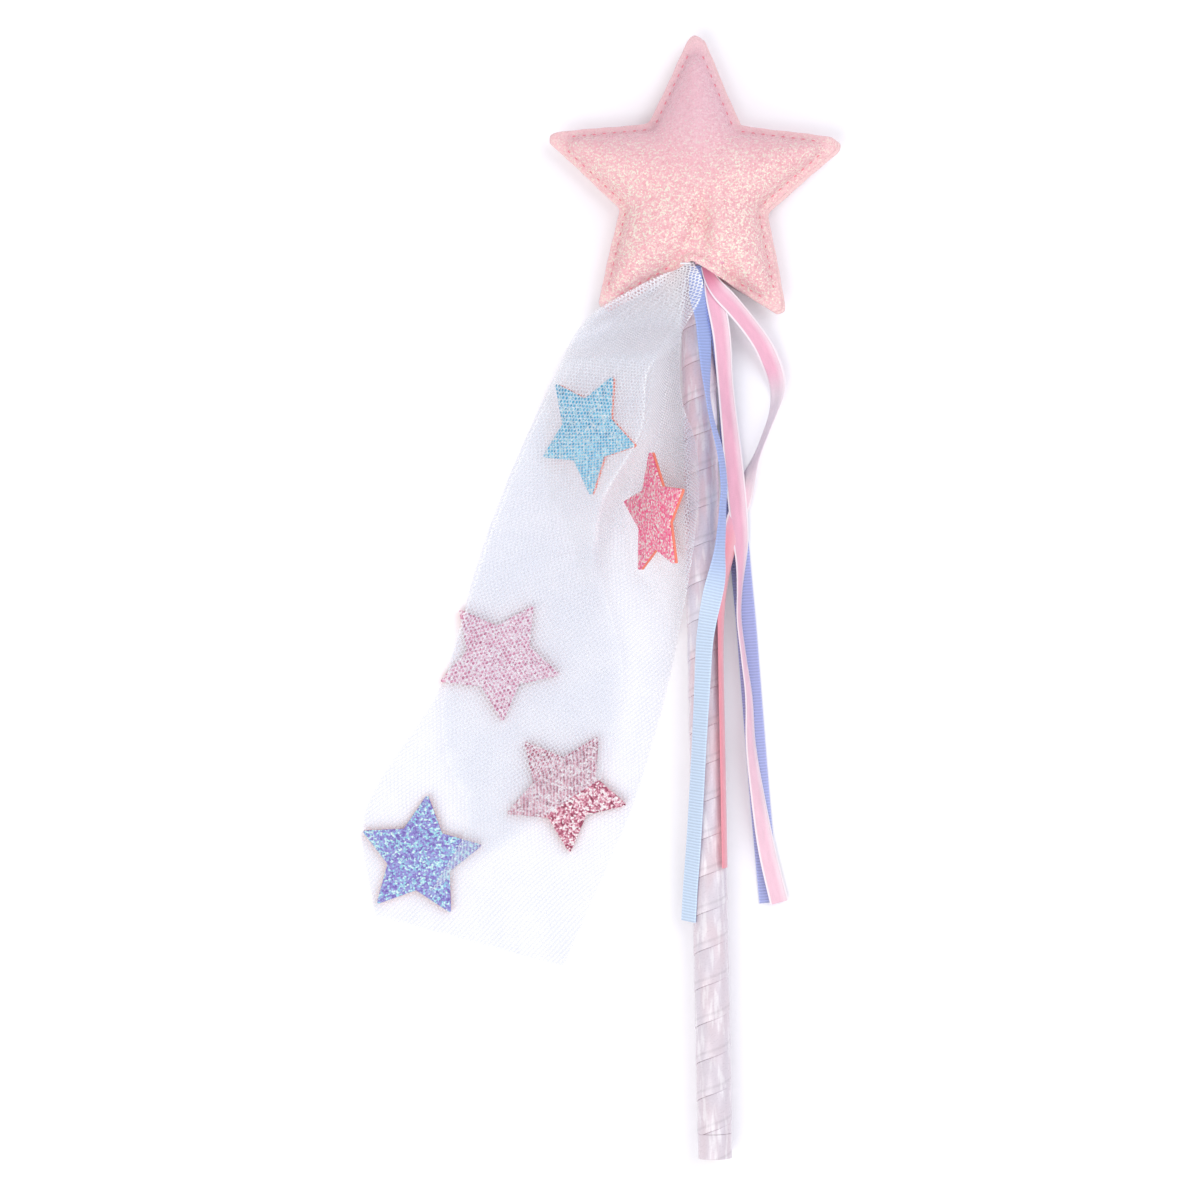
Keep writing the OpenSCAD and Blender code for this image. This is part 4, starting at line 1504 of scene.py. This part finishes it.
    def _sheet(
        self, name: str, left: Table, right: Table, upper: bool, cloth_w: float, net: bpy.types.Material
    ) -> bpy.types.Object:
        """One layer of net as a fine grid, with gathers at the tie and a map of its cloth.

        Args:
            name: the piece's name.
            left: its left edge, in shares of reach and length.
            right: its right edge.
            upper: whether it lies over the stars.
            cloth_w: width of the cloth before it was gathered, in mm.
            net: its material.

        Returns:
            The new piece.
        """
        rows, cols = self.rows, self.cols
        scale = np.array([-self.reach, -self.length])
        shift = np.array([0, self.head_y])
        ends = []
        for table in (left, right):
            line = curve_through(np.array(table) * scale + shift, 40)
            run = run_along(line)
            even = np.linspace(0, run[-1], rows)
            ends.append(np.column_stack([np.interp(even, run, line[:, axis]) for axis in (0, 1)]))
        t = np.linspace(0, 1, cols)[None, :, None]
        flat = ends[0][:, None] * (1 - t) + ends[1][:, None] * t
        x, y = flat[..., 0], flat[..., 1]
        z = self.upper_z(x, y) if upper else self.lower_z(x, y)
        share = np.clip(self._share(y), 0, 1)
        pleat = 0.5 + 0.5 * np.sin(2 * math.pi * (self.pleats * t[..., 0] + 0.6 * np.sin(7 * share)) + 1.3)
        soft = 0.5 + 0.5 * np.sin(x * 0.21 + y * 0.06 + 1.7 * np.sin(y * 0.045))
        pleat_h, soft_h = self.upper_relief if upper else self.lower_relief
        z = z + pleat_h * pleat * swell(share, *self.pleat_span)
        z = z + soft_h * soft * smooth((share - self.soft_from[0]) / self.soft_from[1])
        z = np.maximum(z, self._over_rim(x, y) + (self.rim_gap if upper else 0.0))
        if upper:
            z = z + self._over_ribbon(x, share)
        points = np.stack([x, y, z], -1) * MM
        piece = from_points(name, points.reshape(-1, 3), grid_faces(rows, cols, False))
        ease = piece.modifiers.new("ease", "SMOOTH")
        ease.use_x = ease.use_y = False
        ease.iterations = 3
        apply_modifiers(piece)
        points = points_of(piece).reshape(rows, cols, 3)
        u = np.cumsum(np.linalg.norm(np.diff(points, axis=1, prepend=points[:, :1]), axis=2), axis=1)
        width = u[:, -1:]
        v = np.cumsum(np.linalg.norm(np.diff(points, axis=0, prepend=points[:1]), axis=2), axis=0)
        v = np.repeat(v.mean(1)[:, None], cols, axis=1)
        put_map(piece, (u - width / 2).ravel(), v.ravel())
        gather = np.clip((cloth_w * MM / width) ** 0.8, 1, 5) * np.ones((1, cols))
        hem = np.minimum(u, width - u) < self.hem * MM
        gather = gather + np.where(hem, self.hem_cover, 0)
        layer = piece.data.attributes.new("gather", "FLOAT", "POINT")
        layer.data.foreach_set("value", gather.ravel().astype(np.float32))
        smooth_shade(piece)
        coat(piece, net)
        node = "tulle_upper_layer" if upper else "tulle_lower_layer"
        return hand_over(piece, Body.TRAIL, "tulle", node, bends=True)


@dataclass(frozen=True)
class SmallStar:
    """A die-cut star of the trail: a glitter face on a coral foam backing; lengths in mm."""

    colour: str
    place: Span
    turn: float
    tilt: float
    stops: Stops
    tip: float = 20.6
    notch: float = 10.6
    rounding: float = 1.1
    face: float = 1.1
    backing: float = 0.9
    face_rim: float = 0.25
    backing_rim: float = 0.12
    seat: float = 0.6
    tilted_seat: float = 1.1
    foam: Colour = (0.92, 0.24, 0.16)

    def build(self, trail: TulleTrail) -> None:
        """Makes both layers in place on the lower net.

        Args:
            trail: the net that carries the star.
        """
        lean = math.radians(self.tilt)
        seat = self.tilted_seat if self.tilt else self.seat
        level = float(trail.lower_z(*map(np.array, self.place))) + seat / math.cos(lean)
        at = Matrix.Translation(Vector((*self.place, level)) * MM) @ Matrix.Rotation(-lean, 4, "Y")
        name = self.colour
        face = self._plate(f"{name}_glitter_star", self.backing, self.face, self.face_rim, at)
        coat(face, Glitter(f"{name}_glitter", self.stops, flake=0.62 * MM, lean=0.9, shine=0.18).make())
        hand_over(face, Body.TRAIL, f"{name}_glitter", f"{name}_star_face")
        foam = self._plate(f"{name}_foam_star", 0.0, self.backing, self.backing_rim, at)
        coat(foam, Plain(f"{name}_foam", self.foam, grain=0.3 * MM, relief=0.06 * MM).make())
        hand_over(foam, Body.TRAIL, "coral_backing", f"{name}_star_backing")

    def _plate(self, name: str, base: float, thick: float, soft: float, at: Matrix) -> bpy.types.Object:
        """One star-shaped plate: a ten-point disc drawn in at its notches, rounded, extruded and bevelled.

        Args:
            name: the piece's name.
            base: height of its underside over the star's seat.
            thick: its thickness.
            soft: rounding of its rims.
            at: where the star sits.

        Returns:
            The new piece.
        """
        deselect()
        bpy.ops.mesh.primitive_circle_add(vertices=10, radius=self.tip * MM, fill_type="NGON")
        piece = bpy.context.object
        piece.name = name
        bpy.ops.object.mode_set(mode="EDIT")
        bpy.ops.mesh.select_mode(type="VERT")
        self._pick(piece, 1)
        ratio = self.notch / self.tip
        bpy.ops.transform.resize(value=(ratio, ratio, 1), center_override=(0, 0, 0))
        self._pick(piece, 0)
        bpy.ops.mesh.bevel(offset=self.rounding * MM, segments=3, affect="VERTICES")
        bpy.ops.mesh.select_all(action="SELECT")
        bpy.ops.mesh.extrude_region_move(TRANSFORM_OT_translate={"value": (0, 0, thick * MM)})
        face_outward(piece)
        round_rims(piece, soft * MM, 60)
        apply_modifiers(piece)
        spin = Matrix.Rotation(math.radians(self.turn - 90), 4, "Z")
        piece.data.transform(at @ Matrix.Translation((0, 0, base * MM)) @ spin)
        smooth_shade(piece, 40)
        return piece

    @staticmethod
    def _pick(piece: bpy.types.Object, rest: int) -> None:
        """Selects every other point of an edited mesh.

        Args:
            piece: the mesh, in edit mode.
            rest: 0 for the even points, 1 for the odd ones.
        """
        bpy.ops.mesh.select_all(action="DESELECT")
        bpy.ops.object.mode_set(mode="OBJECT")
        for k, vertex in enumerate(piece.data.vertices):
            vertex.select = k % 2 == rest
        bpy.ops.object.mode_set(mode="EDIT")


SMALL_STARS = (
    SmallStar("blue", (-35.2, 232.86), -87, 41, (
        (0.0, (0.03, 0.25, 0.46)), (0.32, (0.06, 0.46, 0.72)), (0.55, (0.12, 0.63, 0.88)),
        (0.72, (0.42, 0.86, 0.98)), (0.88, (0.95, 1.0, 1.0)))),
    SmallStar("coral", (-14.355, 205.76), 94, 63, (
        (0.0, (0.95, 0.07, 0.21)), (0.3, (0.98, 0.14, 0.31)), (0.52, (1.0, 0.28, 0.43)),
        (0.68, (1.0, 0.63, 0.64)), (0.85, (1.0, 0.95, 0.88)))),
    SmallStar("pink", (-66.0, 161.18), -88, 0, (
        (0.0, (0.45, 0.09, 0.20)), (0.3, (0.72, 0.26, 0.42)), (0.52, (0.86, 0.48, 0.62)),
        (0.68, (0.95, 0.78, 0.86)), (0.85, (1.0, 0.97, 0.98)))),
    SmallStar("rose", (-45.595, 118.62), -87, 0, (
        (0.0, (0.22, 0.01, 0.05)), (0.33, (0.50, 0.11, 0.19)), (0.54, (0.80, 0.36, 0.46)),
        (0.68, (0.95, 0.74, 0.80)), (0.84, (1.0, 0.97, 0.97)))),
    SmallStar("lilac", (-92.675, 97.9), 82, 0, (
        (0.0, (0.15, 0.09, 0.44)), (0.32, (0.27, 0.21, 0.62)), (0.54, (0.38, 0.38, 0.76)),
        (0.68, (0.24, 0.70, 0.80)), (0.86, (0.80, 0.98, 1.0)))),
)


@dataclass
class WrappedStick:
    """The stick's satin winding and its closing band; lengths in mm."""

    inner: float = 4.86
    outer: float = 5.46
    pitch: float = 11.7
    strip: float = 11.66
    start: float = 8.1
    end: float = 286.5
    phase: float = 3.65
    band: float = 8.0
    lean: float = 1.3
    slack: float = 0.06
    corner: float = 0.2
    steps: int = 48

    def build(self) -> None:
        """Makes the winding and the band, and dresses them."""
        satin = SatinWrap("pearly_satin", self.pitch * MM).make()
        self._winding(satin)
        self._closing_band(satin)

    def _winding(self, satin: bpy.types.Material) -> None:
        """A flat strip's section, wound up the stick and trimmed square at both ends.

        Args:
            satin: its material.
        """
        deselect()
        middle = (self.inner + self.outer) / 2 + self.slack
        bpy.ops.mesh.primitive_plane_add(size=1, location=(0, 0, 0))
        piece = bpy.context.object
        piece.name = "satin_spiral"
        size = (1, self.strip * MM, (self.outer - self.inner) * MM)
        bpy.ops.object.mode_set(mode="EDIT")
        bpy.ops.transform.rotate(value=math.pi / 2, orient_axis="Y", center_override=(0, 0, 0))
        bpy.ops.transform.resize(value=size, center_override=(0, 0, 0))
        bpy.ops.mesh.bevel(offset=self.corner * MM, segments=2, affect="VERTICES")
        bpy.ops.mesh.select_all(action="SELECT")
        bpy.ops.transform.rotate(value=math.radians(self.lean), orient_axis="X", center_override=(0, 0, 0))
        bpy.ops.mesh.select_all(action="SELECT")
        bpy.ops.mesh.delete(type="ONLY_FACE")
        bpy.ops.mesh.select_all(action="SELECT")
        turns = math.ceil((self.end - self.start) / self.pitch) + 2
        low = self.phase - self.pitch
        bpy.ops.transform.translate(value=(0, low * MM, middle * MM))
        bpy.ops.object.mode_set(mode="OBJECT")
        screw = piece.modifiers.new("winding", "SCREW")
        screw.axis = "Y"
        screw.screw_offset = self.pitch * MM
        screw.iterations = turns
        screw.steps = screw.render_steps = self.steps
        apply_modifiers(piece)
        self._trim(piece, self.start, True)
        self._trim(piece, self.end, False)
        smooth_shade(piece, 50)
        coat(piece, satin)
        hand_over(piece, Body.WAND, "satin_wrap", "stick_wrap")

    @staticmethod
    def _trim(piece: bpy.types.Object, y: float, below: bool) -> None:
        """Cuts a piece square across the stick and closes the cut.

        Args:
            piece: the piece to cut.
            y: where along the stick, in mm.
            below: whether the part below the cut goes, or the part above it.
        """
        take(piece)
        bpy.ops.object.mode_set(mode="EDIT")
        bpy.ops.mesh.select_all(action="SELECT")
        bpy.ops.mesh.remove_doubles(threshold=1e-6)
        bpy.ops.mesh.normals_make_consistent(inside=False)
        bpy.ops.mesh.bisect(
            plane_co=(0, y * MM, 0),
            plane_no=(0, 1, 0),
            use_fill=True,
            clear_inner=below,
            clear_outer=not below,
        )
        face_outward(piece)

    def _closing_band(self, satin: bpy.types.Material) -> None:
        """The plain band at the free end, with rolled rims.

        Args:
            satin: its material.
        """
        deselect()
        bpy.ops.mesh.primitive_cylinder_add(
            vertices=64,
            radius=self.outer * MM,
            depth=self.band * MM,
            end_fill_type="NOTHING",
            rotation=(math.pi / 2, 0, 0),
            location=(0, self.band * MM / 2, 0),
        )
        piece = bpy.context.object
        piece.name = "satin_end_band"
        bpy.ops.object.transform_apply()
        wall = piece.modifiers.new("wall", "SOLIDIFY")
        wall.thickness = (self.outer - self.inner) * MM
        wall.offset = -1
        round_rims(piece, self.corner * MM, 50)
        apply_modifiers(piece)
        smooth_shade(piece, 50)
        coat(piece, satin)
        hand_over(piece, Body.WAND, "satin_wrap", "wrap_end_band")


@dataclass
class HiddenParts:
    """Finishes of the solids that stay as they are: core, glue, threads and gathered necks."""

    nodes: dict[str, bpy.types.Object]

    def dress(self) -> None:
        """Gives each solid its finish."""
        thread, gathered = {"grain": 0.12 * MM, "sheen": 0.2}, {"grain": 0.3 * MM, "stretch": 12}
        finishes = {
            "stick_core": Plain("core_wood", (0.72, 0.55, 0.37), grain=0.5 * MM, stretch=18, rough=0.65),
            "glue_plug": Plain("cloudy_glue", (0.90, 0.86, 0.76), grain=3 * MM, rough=0.4),
            "binding_thread": Plain("binding_thread", (0.88, 0.86, 0.88), **thread),
            "tulle_neck": Plain("gathered_net", (0.88, 0.89, 0.93), sheen=0.2, **gathered),
            "ribbon_neck": Plain("gathered_ribbon", (0.80, 0.30, 0.46), sheen=0.4, **gathered),
            "tulle_gather_thread": Plain("gather_thread", (0.90, 0.90, 0.93), **thread),
            "ribbon_tack_thread": Plain("tack_thread", (0.82, 0.36, 0.50), **thread),
        }
        for name, finish in finishes.items():
            coat(self.nodes[name], finish.make())
            LOG.info("%s keeps its solid, as %s", name, finish.name)


def corners(box: tuple[Vector, Vector]) -> list[list[float]]:
    """A box's two corners as plain lists of numbers."""
    return [list(corner) for corner in box]


def main() -> None:
    """Builds the wand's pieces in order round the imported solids."""
    logging.basicConfig(level=logging.INFO, format="%(name)s: %(message)s")
    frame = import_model()
    Studio().build()
    RibbonTails().build()
    WrappedStick().build()
    StarCushion().build()
    TulleTrail().build()
    HiddenParts(frame["nodes"]).dress()


if __name__ == "__main__":
    main()
